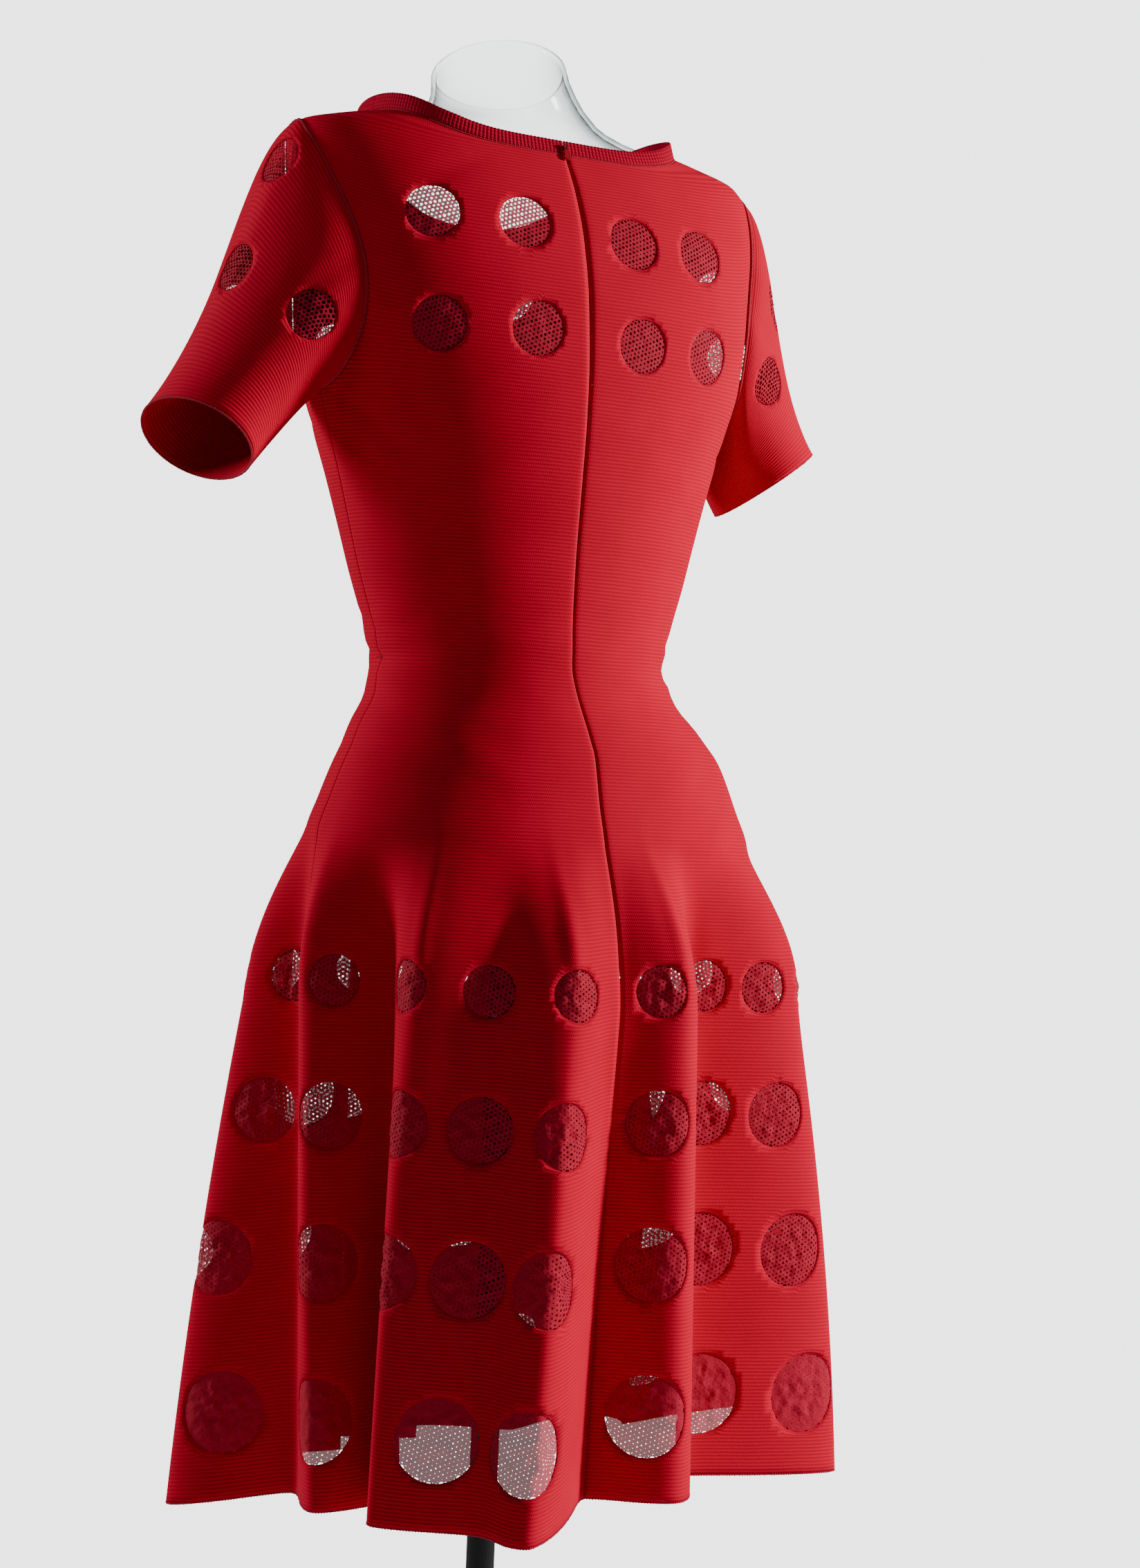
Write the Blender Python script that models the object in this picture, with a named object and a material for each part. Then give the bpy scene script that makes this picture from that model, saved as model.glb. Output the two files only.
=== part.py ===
"""Flared knit dress with a centre-back zip, standing on a clear torso form and a round stand.

Metres, +Z up. The front of the dress faces -Y, the wearer's left is +X. The origin is the centre of the
base plate's underside. Every cloth piece is a thin closed wall worked out from two surfaces: a torso, given
by horizontal sections, and a skirt of soft flutes, given by a ridge and valley table.
"""
import math
from collections import namedtuple

import bmesh
import bpy
from mathutils import Matrix, Vector

MM = 0.001

# Cloth
WALL = 1.6 * MM
SEAM_GAP = 0.36 * MM
ZIP_GAP = 1.3 * MM

# Heights above the floor
WAIST_Z = 1.04
HIP_Z = 0.93
UNDERARM_Z = 1.214
SHOULDER_TIP_Z = 1.384
NECK_POINT_Z = 1.399
NECK_BACK_Z = 1.378
NECK_FRONT_Z = 1.335
ZIP_END_Z = 0.842

# Stance: the shoulders sit to the wearer's left and drop to the right, the hips sit to the right
SHOULDER_SHIFT = 0.011
HIP_SHIFT = -0.012
HIP_SHIFT_Z = 0.985
SHOULDER_SLOPE = 0.046

# Skirt axis, the share of the skirt's length at which the middle radius is given, how soon a flute swells
# out of the hip, and how far it bows and leaves towards the hem
SKIRT_Y = 0.010
SKIRT_MIDDLE = 0.26
FLUTE_SWELL = 1.2
FLUTE_BOW = 0.35
FLUTE_LEAVE = 0.45
SKIRT_MEAN_HEM_Z = 0.5

# Powers that round the neckline at the back and front, and shape the armhole
NECK_BACK_ROUND = 4
NECK_FRONT_ROUND = 2.6
ARMHOLE_LIFT = 0.8
ARMHOLE_ROUND = 0.62

# Sleeves
ARMHOLE_BITE = math.radians(33)
Cuff = namedtuple("Cuff", "side x y z tilt")
CUFFS = [
    Cuff(1, 0.2360, -0.004, 1.178, 38),
    Cuff(-1, -0.1990, -0.020, 1.180, 36),
]
SLEEVE_LEAVE = 0.42
SLEEVE_ARRIVE = 1.15
CUFF_HALF_ACROSS = 0.0370
CUFF_HALF_DEEP = 0.051
CUFF_BACK_RISE = 0.009
SLEEVE_RIDGE = 0.6 * MM
SLEEVE_SPREAD = 0.8
SLEEVE_DROP = 0.5

# Neckband
BAND_HEIGHT = 11.5 * MM
RIB_PITCH = 2.7 * MM
RIB_RISE = 0.5 * MM
RIB_RISE_AT_TOP = 0.8
BAND_UPRIGHT_AT_SIDES = 0.85
BAND_LEAN = 0.12

# Torso form and stand
FORM_CLEARANCE = 0.6 * MM
FORM_YOKE_CLEARANCE = 1.9 * MM
FORM_YOKE_START_Z = 1.150
FORM_ZIP_RELIEF = 2.0 * MM
FORM_WALL = 3.0 * MM
FORM_BOTTOM_Z = 0.868
FORM_FIRST_RING_Z = 0.884
FORM_TUCK = 0.017
FORM_ZIP_RELIEF_WIDTH = 0.020
FORM_RIM_LEAST = 2.0 * MM
FORM_BOTTOM_ROUNDING = [(0.90, 0.0), (0.965, 3.5 * MM)]
FORM_RIM_MIDDLE_Z = 1.444
FORM_RIM_RISE = 0.019
POLE_RADIUS = 0.0095
SOCKET_RADIUS = 0.0155
SOCKET_LENGTH = 0.055
FLANGE_RADIUS = 0.042
FLANGE_THICKNESS = 0.006
COLLAR_RADIUS = 0.021
COLLAR_HEIGHT = 0.030
BASE_RADIUS = 0.150
BASE_THICKNESS = 0.009
STAND_GAP = 0.3 * MM

# Zip
TAPE_HALF_WIDTH = 6.5 * MM
TAPE_THICKNESS = 0.8 * MM
TAPE_CLEARANCE = 0.6 * MM
TAPE_RUN_ON = 30.0 * MM
SLIDER_RISE = 5.0 * MM
HINGE_STANDOFF = 2.1 * MM
PIN_RADIUS = 0.4 * MM
PIN_LENGTH = 3.2 * MM
EYE_BORE_RADIUS = 0.7 * MM
EYE_RADIUS = 1.35 * MM
PULL_WIDTH = 4.6 * MM
PULL_LENGTH = 10.5 * MM
PULL_THICKNESS = 1.0 * MM
BRIDGE_THICKNESS = 0.6 * MM
BRIDGE_HALF_LENGTH = 1.8 * MM
BRIDGE_TOP = 0.75 * MM
EYE_LENGTH = 3.4 * MM
PULL_SLOT = 1.3 * MM

# Horizontal sections of the torso: half_width along X, back and front as distances from the plane Y = 0,
# side_y where the side seam lies, and squareness, which is 2 for an ellipse
Section = namedtuple("Section", "height half_width back front side_y squareness")
SECTIONS = [
    Section(0.860, 0.1570, 0.119, 0.106, 0.006, 2.10),
    Section(0.905, 0.1585, 0.119, 0.106, 0.006, 2.10),
    Section(0.928, 0.1560, 0.114, 0.104, 0.006, 2.10),
    Section(0.950, 0.1480, 0.106, 0.099, 0.005, 2.10),
    Section(0.978, 0.1365, 0.098, 0.093, 0.004, 2.10),
    Section(1.000, 0.1235, 0.091, 0.088, 0.002, 2.10),
    Section(1.021, 0.1085, 0.085, 0.083, 0.001, 2.10),
    Section(1.040, 0.1025, 0.082, 0.080, 0.000, 2.10),
    Section(1.060, 0.1055, 0.082, 0.081, 0.000, 2.10),
    Section(1.105, 0.1185, 0.085, 0.088, 0.000, 2.10),
    Section(1.161, 0.1325, 0.093, 0.103, 0.000, 2.15),
    Section(1.205, 0.1450, 0.099, 0.114, 0.000, 2.20),
    Section(1.240, 0.1555, 0.101, 0.110, 0.000, 2.30),
    Section(1.280, 0.1635, 0.099, 0.098, 0.000, 2.40),
    Section(1.320, 0.1675, 0.091, 0.087, 0.000, 2.40),
    Section(1.350, 0.1690, 0.079, 0.079, -0.001, 2.35),
    Section(1.372, 0.1680, 0.066, 0.074, -0.003, 2.30),
    Section(1.384, 0.1620, 0.058, 0.072, -0.005, 2.20),
    Section(1.392, 0.1380, 0.053, 0.071, -0.008, 2.10),
    Section(1.399, 0.1060, 0.049, 0.071, -0.011, 2.05),
    Section(1.405, 0.0800, 0.045, 0.072, -0.015, 2.00),
    Section(1.412, 0.0650, 0.040, 0.074, -0.020, 2.00),
    Section(1.426, 0.0555, 0.029, 0.079, -0.028, 2.00),
    Section(1.445, 0.0515, 0.014, 0.089, -0.039, 2.00),
    Section(1.470, 0.0500, 0.002, 0.099, -0.049, 2.00),
]

# Ridges and valleys of the skirt, counter-clockwise from the wearer's left side. around is the place on the
# hip ellipse in degrees; the others are polar angles in degrees and radii about the skirt's axis
Fold = namedtuple("Fold", "name around middle_radius hem_angle hem_radius hem_height")
FOLDS = [
    Fold("left ridge", 8, 0.178, 22, 0.190, 0.497),
    Fold("left valley", 29, 0.138, 31, 0.132, 0.500),
    Fold("near flute, outer ridge", 49, 0.164, 37, 0.196, 0.496),
    Fold("near flute, middle", 67, 0.147, 57, 0.172, 0.491),
    Fold("near flute, zip ridge", 81, 0.153, 67, 0.188, 0.487),
    Fold("zip valley", 90, 0.133, 91, 0.108, 0.503),
    Fold("ridge beside the zip", 100, 0.150, 112, 0.148, 0.503),
    Fold("back valley", 114, 0.116, 140, 0.116, 0.507),
    Fold("right ridge", 142, 0.184, 165, 0.230, 0.503),
    Fold("right valley", 164, 0.160, 174, 0.178, 0.520),
    Fold("right side ridge", 181, 0.184, 184, 0.262, 0.536),
    Fold("front right valley", 199, 0.152, 205, 0.140, 0.520),
    Fold("front right ridge", 219, 0.172, 226, 0.222, 0.508),
    Fold("front valley 1", 237, 0.128, 243, 0.122, 0.510),
    Fold("front ridge 1", 255, 0.148, 261, 0.198, 0.500),
    Fold("front valley 2", 271, 0.120, 277, 0.118, 0.506),
    Fold("front ridge 2", 287, 0.149, 293, 0.200, 0.498),
    Fold("front valley 3", 304, 0.130, 309, 0.126, 0.504),
    Fold("front left ridge", 320, 0.172, 323, 0.214, 0.495),
    Fold("front left valley", 331, 0.158, 334, 0.156, 0.500),
    Fold("left side ridge", 341, 0.191, 347, 0.230, 0.483),
    Fold("left side valley", 354, 0.160, 3, 0.160, 0.497),
]

# Mesh density
FOLD_STEPS = 4
COLUMN_MARGIN = 1.2
TORSO_STEPS = 10
SKIRT_ROWS = [0.0, 0.03, 0.07, 0.13, 0.20, 0.28, 0.38, 0.49, 0.61, 0.74, 0.87, 1.0]
TORSO_ROWS = 11
FORM_TORSO_ROWS = [0, 1, 2, 3, 4, 5, 6, 7, 9, 11]
FORM_YOKE_HEIGHTS = [1.237, 1.268, 1.315, 1.347, 1.368, 1.382, 1.390, 1.397, 1.404, 1.413]
YOKE_ROWS = [0.0, 0.04, 0.13, 0.25, 0.38, 0.51, 0.64, 0.75, 0.84, 0.90, 0.94, 0.97, 1.0]
SLEEVE_ROWS = [0.0, 0.07, 0.16, 0.28, 0.42, 0.56, 0.70, 0.85, 1.0]
TIP_ROW = 9
YOKE_EDGE_MARGIN = 0.045
NECK_BLEND = 8
ROUND_STEPS = 40
STAND_STEPS = 28


def table_value(rows, key, value_of, position):
    """Smooth value between the rows of a table, with no overshoot past a row's own value."""
    keys = [key(row) for row in rows]
    values = [value_of(row) for row in rows]
    position = min(max(position, keys[0]), keys[-1])
    index = 0
    while index < len(keys) - 2 and position > keys[index + 1]:
        index += 1
    steps = [keys[i + 1] - keys[i] for i in range(len(keys) - 1)]
    slopes = [(values[i + 1] - values[i]) / steps[i] for i in range(len(steps))]

    def tangent(i):
        if i == 0:
            return slopes[0]
        if i == len(slopes):
            return slopes[-1]
        before, after = slopes[i - 1], slopes[i]
        if before * after <= 0.0:
            return 0.0
        return 2.0 * before * after / (before + after)

    span = steps[index]
    x = (position - keys[index]) / span
    low, high = values[index], values[index + 1]
    h00 = (1 + 2 * x) * (1 - x) ** 2
    h01 = x * x * (3 - 2 * x)
    h10 = x * (1 - x) ** 2
    h11 = x * x * (x - 1)
    return h00 * low + h01 * high + span * (h10 * tangent(index) + h11 * tangent(index + 1))


def section_value(field, height):
    """One column of the section table at any height."""
    return table_value(SECTIONS, lambda row: row.height, lambda row: getattr(row, field), height)


def fold_rows():
    """The folds over one turn and a little more, so that the last runs on into the first."""
    rows = []
    for turn in (-1, 0, 1):
        for fold in FOLDS:
            hem_angle = fold.hem_angle
            if fold.around > 350:
                hem_angle += 360
            rows.append(fold._replace(around=fold.around + 360 * turn, hem_angle=hem_angle + 360 * turn))
    return rows


FOLD_ROWS = fold_rows()


def fold_value(field, around):
    """One column of the fold table at any place round the hip, in degrees."""
    return table_value(FOLD_ROWS, lambda row: row.around, lambda row: getattr(row, field), around)


def stance(height):
    """Sideways shift and slope of the stance at a height."""
    if height >= WAIST_Z:
        share = (height - WAIST_Z) / (NECK_POINT_Z - WAIST_Z)
        return SHOULDER_SHIFT * min(share, 1.0), SHOULDER_SLOPE * share
    share = min((WAIST_Z - height) / (WAIST_Z - HIP_SHIFT_Z), 1.0)
    return HIP_SHIFT * share, 0.0


def signed_power(value, power):
    return math.copysign(abs(value) ** power, value)


def torso_point(around, height):
    """Point of the cloth's outer face over the torso; around is in radians, pi/2 at the centre back."""
    shift, slope = stance(height)
    power = 2.0 / section_value("squareness", height)
    half_width = section_value("half_width", height)
    side_y = section_value("side_y", height)
    if math.sin(around) >= 0.0:
        depth = section_value("back", height) - side_y
    else:
        depth = section_value("front", height) + side_y
    x = half_width * signed_power(math.cos(around), power)
    y = side_y + depth * signed_power(math.sin(around), power)
    return Vector((shift + x, y, height + slope * x))


def skirt_point(around, share):
    """Point of the cloth's outer face below the hip; share is 0 at the hip line and 1 at the hem."""
    degrees = math.degrees(around)
    hip = torso_point(around, HIP_Z)
    hip_x = hip.x - HIP_SHIFT
    hip_y = hip.y - SKIRT_Y
    hip_radius = math.hypot(hip_x, hip_y)
    hip_angle = math.atan2(hip_y, hip_x)
    hem_angle = math.radians(fold_value("hem_angle", degrees))
    turn = (hem_angle - hip_angle + math.pi) % (2 * math.pi) - math.pi
    middle = fold_value("middle_radius", degrees)
    hem = fold_value("hem_radius", degrees)
    if share < SKIRT_MIDDLE:
        x = share / SKIRT_MIDDLE
        eased = x ** FLUTE_SWELL * (1 + FLUTE_SWELL - FLUTE_SWELL * x)
        end_slope = FLUTE_LEAVE * (hem - middle) / (1 - SKIRT_MIDDLE) * SKIRT_MIDDLE
        radius = hip_radius + (middle - hip_radius) * eased + end_slope * x * x * (x - 1)
    else:
        x = (share - SKIRT_MIDDLE) / (1 - SKIRT_MIDDLE)
        radius = middle + (hem - middle) * (x + FLUTE_BOW * x * (1 - x))
    angle = hip_angle + turn * share
    height = HIP_Z + (fold_value("hem_height", degrees) - HIP_Z) * share
    return Vector((HIP_SHIFT + radius * math.cos(angle), SKIRT_Y + radius * math.sin(angle), height))


def surface_normal(surface, around, along, outward_sign):
    """Unit normal of a surface by small differences."""
    step = 1e-4
    across = surface(around + step, along) - surface(around - step, along)
    low = along - step
    high = along + step
    if outward_sign < 0 and low < 0.0:
        low = 0.0
    up = surface(around, high) - surface(around, low)
    return (across.cross(up) * outward_sign).normalized()


def torso_normal(around, height):
    return surface_normal(torso_point, around, height, 1.0)


def skirt_normal(around, share):
    if share < SKIRT_ROWS[1] * 0.5:
        return torso_normal(around, HIP_Z)
    return surface_normal(skirt_point, around, share, -1.0)


def edge_angle(surface, around, along, inward, gap):
    """Angle of an edge moved by a gap in metres from a seam line."""
    step = 1e-3
    speed = (surface(around + step, along) - surface(around, along)).length / step
    return around + inward * gap / speed


def seam_gap_at(around, height):
    """Half of the gap at a seam: wider beside the zip."""
    at_centre_back = abs(around - math.pi / 2) < 0.01
    if at_centre_back and height > ZIP_END_Z:
        return ZIP_GAP / 2
    return SEAM_GAP / 2


def neck_line(turn):
    """Half-width share and height of the neckline; turn is like around."""
    side = abs(math.cos(turn))
    if math.sin(turn) >= 0.0:
        return side, NECK_BACK_Z + (NECK_POINT_Z - NECK_BACK_Z) * side ** NECK_BACK_ROUND
    return side, NECK_FRONT_Z + (NECK_POINT_Z - NECK_FRONT_Z) * side ** NECK_FRONT_ROUND


def neck_around(turn):
    """Section angle and height of a neckline point."""
    side, height = neck_line(turn)
    neck_half = section_value("half_width", NECK_POINT_Z)
    half_width = section_value("half_width", height)
    squareness = section_value("squareness", height)
    ratio = min(neck_half * side / half_width, 1.0)
    angle = math.acos(ratio ** (squareness / 2))
    if math.sin(turn) < 0.0:
        angle = -angle
    if math.cos(turn) < 0.0:
        angle = math.pi - angle
    return angle, height


def armhole_angle(height):
    """How far the armhole bites into the back and front at a height, as a section angle."""
    share = (height - UNDERARM_Z) / (SHOULDER_TIP_Z - UNDERARM_Z)
    if share <= 0.0 or share >= 1.0:
        return 0.0
    return ARMHOLE_BITE * math.sin(math.pi * share ** ARMHOLE_LIFT) ** ARMHOLE_ROUND


def yoke_height_at_edge(level):
    """Height along the armhole and then the shoulder seam for a row of the yoke."""
    tip = YOKE_ROWS[TIP_ROW]
    if level <= tip:
        return UNDERARM_Z + (SHOULDER_TIP_Z - UNDERARM_Z) * level / tip
    return SHOULDER_TIP_Z + (NECK_POINT_Z - SHOULDER_TIP_Z) * (level - tip) / (1 - tip)


def yoke_shares(level):
    """Places of a yoke row's points in a quarter, from its armhole or shoulder edge to the centre at 1."""
    edge = armhole_angle(yoke_height_at_edge(level)) / (math.pi / 2)
    even = [step / TORSO_STEPS for step in range(1, TORSO_STEPS + 1)]
    return [edge] + [share for share in even if share > edge + YOKE_EDGE_MARGIN]


def yoke_place(quarter, share, level):
    """Section angle and height of a yoke point. quarter is 0 back left, 1 back right, 2 front right,
    3 front left; share is the part of a quarter turn from the side."""
    turn = math.pi / 2 * share
    neck_angle, neck_height = neck_around(turn if quarter < 2 else -turn)
    neck_angle = abs(neck_angle)
    edge_height = yoke_height_at_edge(level)
    bite = armhole_angle(edge_height)
    neck_centre = NECK_BACK_Z if quarter < 2 else NECK_FRONT_Z
    centre_height = UNDERARM_Z + (neck_centre - UNDERARM_Z) * level
    inward = (turn - bite) / (math.pi / 2 - bite)
    drift = 1 - (1 - inward) ** 2
    blend = level ** NECK_BLEND
    height = edge_height + (centre_height - edge_height) * drift
    height += (neck_height - (NECK_POINT_Z + (centre_height - NECK_POINT_Z) * drift)) * blend
    angle = turn + (neck_angle - turn) * blend
    signed = {0: angle, 1: math.pi - angle, 2: math.pi + angle, 3: 2 * math.pi - angle}[quarter]
    return signed, height


class Wall:
    """Rows of outer points with normals, closed into a thin wall."""

    def __init__(self):
        self.rows = []

    def add_row(self, points, normals, thickness=WALL):
        inner = [p - n * thickness for p, n in zip(points, normals)]
        self.rows.append((list(points), inner))

    def build(self, name, closed=False):
        mesh = bmesh.new()
        outer = [[mesh.verts.new(p) for p in row[0]] for row in self.rows]
        inner = [[mesh.verts.new(p) for p in row[1]] for row in self.rows]
        for low, high in zip(outer, outer[1:]):
            stitch(mesh, low, high, closed, False)
        for low, high in zip(inner, inner[1:]):
            stitch(mesh, low, high, closed, True)
        stitch(mesh, outer[0], inner[0], closed, True)
        stitch(mesh, outer[-1], inner[-1], closed, False)
        if not closed:
            first_out = [row[0] for row in outer]
            first_in = [row[0] for row in inner]
            last_out = [row[-1] for row in outer]
            last_in = [row[-1] for row in inner]
            stitch(mesh, first_out, first_in, False, False)
            stitch(mesh, last_out, last_in, False, True)
        return finish(mesh, name)


def stitch(mesh, low, high, closed, flipped):
    """Triangles between two rows that may have different numbers of points."""
    count_low = len(low) if closed else len(low) - 1
    count_high = len(high) if closed else len(high) - 1
    i = 0
    j = 0
    while i < count_low or j < count_high:
        a = low[i % len(low)]
        b = high[j % len(high)]
        if i == count_low or j == count_high:
            step_low = j == count_high
        elif count_low == count_high:
            step_low = i <= j
        else:
            next_low = (low[(i + 1) % len(low)].co - b.co).length
            next_high = (high[(j + 1) % len(high)].co - a.co).length
            step_low = next_low <= next_high
        if step_low:
            i += 1
            corners = (a, low[i % len(low)], b)
        else:
            j += 1
            corners = (a, high[j % len(high)], b)
        if flipped:
            corners = corners[::-1]
        mesh.faces.new(corners)


def finish(mesh, name, smooth_angle=40):
    bmesh.ops.recalc_face_normals(mesh, faces=mesh.faces)
    if mesh.calc_volume(signed=True) < 0.0:
        bmesh.ops.reverse_faces(mesh, faces=mesh.faces)
    data = bpy.data.meshes.new(name)
    mesh.to_mesh(data)
    mesh.free()
    data.shade_smooth()
    data.set_sharp_from_angle(angle=math.radians(smooth_angle))
    piece = bpy.data.objects.new(name, data)
    bpy.context.collection.objects.link(piece)
    return piece


def give_material(piece, name, colour, roughness, metallic=0.0, alpha=1.0):
    material = bpy.data.materials.get(name)
    if material is None:
        material = bpy.data.materials.new(name)
        material.use_nodes = True
        shader = material.node_tree.nodes["Principled BSDF"]
        shader.inputs["Base Color"].default_value = (*colour, 1.0)
        shader.inputs["Roughness"].default_value = roughness
        shader.inputs["Metallic"].default_value = metallic
        shader.inputs["Alpha"].default_value = alpha
    piece.data.materials.append(material)


def skirt_columns(start, end):
    """Section angles from start to end in degrees, denser where the folds are close."""
    angles = []
    for row, following in zip(FOLD_ROWS, FOLD_ROWS[1:]):
        for step in range(FOLD_STEPS):
            angle = row.around + (following.around - row.around) * step / FOLD_STEPS
            if start + COLUMN_MARGIN < angle < end - COLUMN_MARGIN:
                angles.append(angle)
    return [math.radians(a) for a in [start] + angles + [end]]


def panel_row(surface, normal, columns, along, height):
    """One row of a panel, with its two edge columns moved off their seams."""
    angles = list(columns)
    angles[0] = edge_angle(surface, columns[0], along, 1, seam_gap_at(columns[0], height))
    angles[-1] = edge_angle(surface, columns[-1], along, -1, seam_gap_at(columns[-1], height))
    return [surface(a, along) for a in angles], [normal(a, along) for a in angles]


def yoke_row(quarter, level, reverse):
    """One row of a quarter of the yoke, from the armhole or shoulder to the centre line."""
    points = []
    normals = []
    away = 1 if quarter in (0, 2) else -1
    shares = yoke_shares(level)
    for share in shares:
        angle, height = yoke_place(quarter, share, level)
        if share == shares[0]:
            angle = edge_angle(torso_point, angle, height, away, SEAM_GAP / 2)
        if share == 1.0 and quarter < 2:
            angle = edge_angle(torso_point, angle, height, -away, seam_gap_at(math.pi / 2, height))
        points.append(torso_point(angle, height))
        normals.append(torso_normal(angle, height))
    if reverse:
        points.reverse()
        normals.reverse()
    return points, normals


def panel_rows(start, end, quarters):
    """Rows of points and normals of a panel from the hem to the neckline, with each row's height.
    quarters lists its yoke quarters in order round the body."""
    rows = []
    columns = skirt_columns(start, end)
    for share in reversed(SKIRT_ROWS[1:]):
        height = HIP_Z + (SKIRT_MEAN_HEM_Z - HIP_Z) * share
        rows.append((height, *panel_row(skirt_point, skirt_normal, columns, share, height)))
    count = TORSO_STEPS * len(quarters)
    first = math.radians(start)
    span = math.radians(end - start)
    torso_columns = [first + span * i / count for i in range(count + 1)]
    for row in range(TORSO_ROWS):
        height = HIP_Z + (UNDERARM_Z - HIP_Z) * row / TORSO_ROWS
        rows.append((height, *panel_row(torso_point, torso_normal, torso_columns, height, height)))
    for level in YOKE_ROWS:
        points = []
        normals = []
        for quarter in quarters:
            more_points, more_normals = yoke_row(quarter, level, quarter in (1, 3))
            if points:
                more_points = more_points[1:]
                more_normals = more_normals[1:]
            points += more_points
            normals += more_normals
        rows.append((points[-1].z, points, normals))
    return rows


def build_panel(name, rows):
    wall = Wall()
    for height, points, normals in rows:
        wall.add_row(points, normals)
    return wall.build(name)


def armhole_edge(quarter):
    """Outer point, normal and level along one side of an armhole, from the underarm to the shoulder tip."""
    found = []
    away = 1 if quarter in (0, 2) else -1
    for level in YOKE_ROWS[:TIP_ROW + 1]:
        angle, height = yoke_place(quarter, yoke_shares(level)[0], level)
        angle = edge_angle(torso_point, angle, height, away, SEAM_GAP / 2)
        found.append((torso_point(angle, height), torso_normal(angle, height)))
    return found


def build_sleeve(name, cuff_row):
    """A set-in sleeve from its armhole to its cuff."""
    side = cuff_row.side
    tilt = math.radians(cuff_row.tilt)
    back = armhole_edge(0 if side > 0 else 1)
    front = armhole_edge(3 if side > 0 else 2)
    loop = back + front[::-1][1:-1]
    centre = sum((point for point, _ in loop), Vector()) / len(loop)
    count = len(loop)
    cuff_centre = Vector((cuff_row.x, cuff_row.y, cuff_row.z))
    across = Vector((side * math.cos(tilt), 0.0, math.sin(tilt)))
    axis = Vector((side * math.sin(tilt), 0.0, -math.cos(tilt)))
    wall = Wall()
    heads = []
    for index, (point, normal) in enumerate(loop):
        before = loop[index - 1][0]
        after = loop[(index + 1) % count][0]
        along = (after - before).normalized()
        hole = along.cross(normal).normalized()
        if hole.dot(centre - point) < 0.0:
            hole = -hole
        heads.append((point + hole * SEAM_GAP, normal, hole))
    first = [head - normal * WALL * 0.5 for head, normal, hole in heads]
    second = [head + normal * SLEEVE_RIDGE for head, normal, hole in heads]
    holes = [hole for head, normal, hole in heads]
    cuff = []
    for head, normal, hole in heads:
        offset = head - centre
        angle = math.atan2(offset.y, offset.z)
        blend = Vector((0.0, math.sin(angle), math.cos(angle)))
        rise = CUFF_BACK_RISE * blend.y
        cuff.append(cuff_centre + across * (CUFF_HALF_ACROSS * blend.z)
                    + Vector((0.0, CUFF_HALF_DEEP * blend.y, 0.0)) - axis * rise)
    rings = [first, second]
    for share in SLEEVE_ROWS[1:]:
        ring = []
        for start, end, head in zip(second, cuff, heads):
            reach = (end - start).length
            outward = Vector((side, head[1].y * SLEEVE_SPREAD, -SLEEVE_DROP))
            leave = outward.normalized() * reach * SLEEVE_LEAVE
            arrive = axis * reach * SLEEVE_ARRIVE
            rest = 1 - share
            ring.append(start * ((1 + 2 * share) * rest ** 2) + end * (share ** 2 * (3 - 2 * share))
                        + leave * (share * rest ** 2) - arrive * (share ** 2 * rest))
        rings.append(ring)
    for level, ring in enumerate(rings):
        if level < 2:
            wall.add_row(ring, [-hole for hole in holes])
            continue
        normals = []
        for index, point in enumerate(ring):
            along = ring[(index + 1) % count] - ring[index - 1]
            low = rings[level - 1][index]
            high = rings[min(level + 1, len(rings) - 1)][index]
            normal = along.cross(high - low).normalized()
            if normal.dot(point - sum(ring, Vector()) / count) < 0.0:
                normal = -normal
            normals.append(normal)
        wall.add_row(ring, normals)
    return wall.build(name, closed=True)


def band_foot(turn):
    """Point of the neckline's straight-sided edge, as the panels have it."""
    step = math.pi / 2 / TORSO_STEPS
    index = math.floor(turn / step)
    low = torso_point(*neck_around(index * step))
    high = torso_point(*neck_around((index + 1) * step))
    return low.lerp(high, turn / step - index)


def band_profile(turn):
    """Base point, rising direction and outward normal of the neckband at a turn round the neck."""
    angle, height = neck_around(turn)
    base = band_foot(turn)
    normal = torso_normal(angle, height)
    step = 0.02
    ahead = torso_point(*neck_around(turn + step))
    behind = torso_point(*neck_around(turn - step))
    along = (ahead - behind).normalized()
    rise = normal.cross(along).normalized()
    if rise.z < 0.0:
        rise = -rise
    upright = BAND_UPRIGHT_AT_SIDES * abs(math.cos(turn)) ** 3
    direction = (rise * (1 - upright) + Vector((0, 0, 1)) * upright + normal * BAND_LEAN).normalized()
    outward = along.cross(direction).normalized()
    if outward.dot(normal) < 0.0:
        outward = -outward
    return base, direction, outward, along


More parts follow.
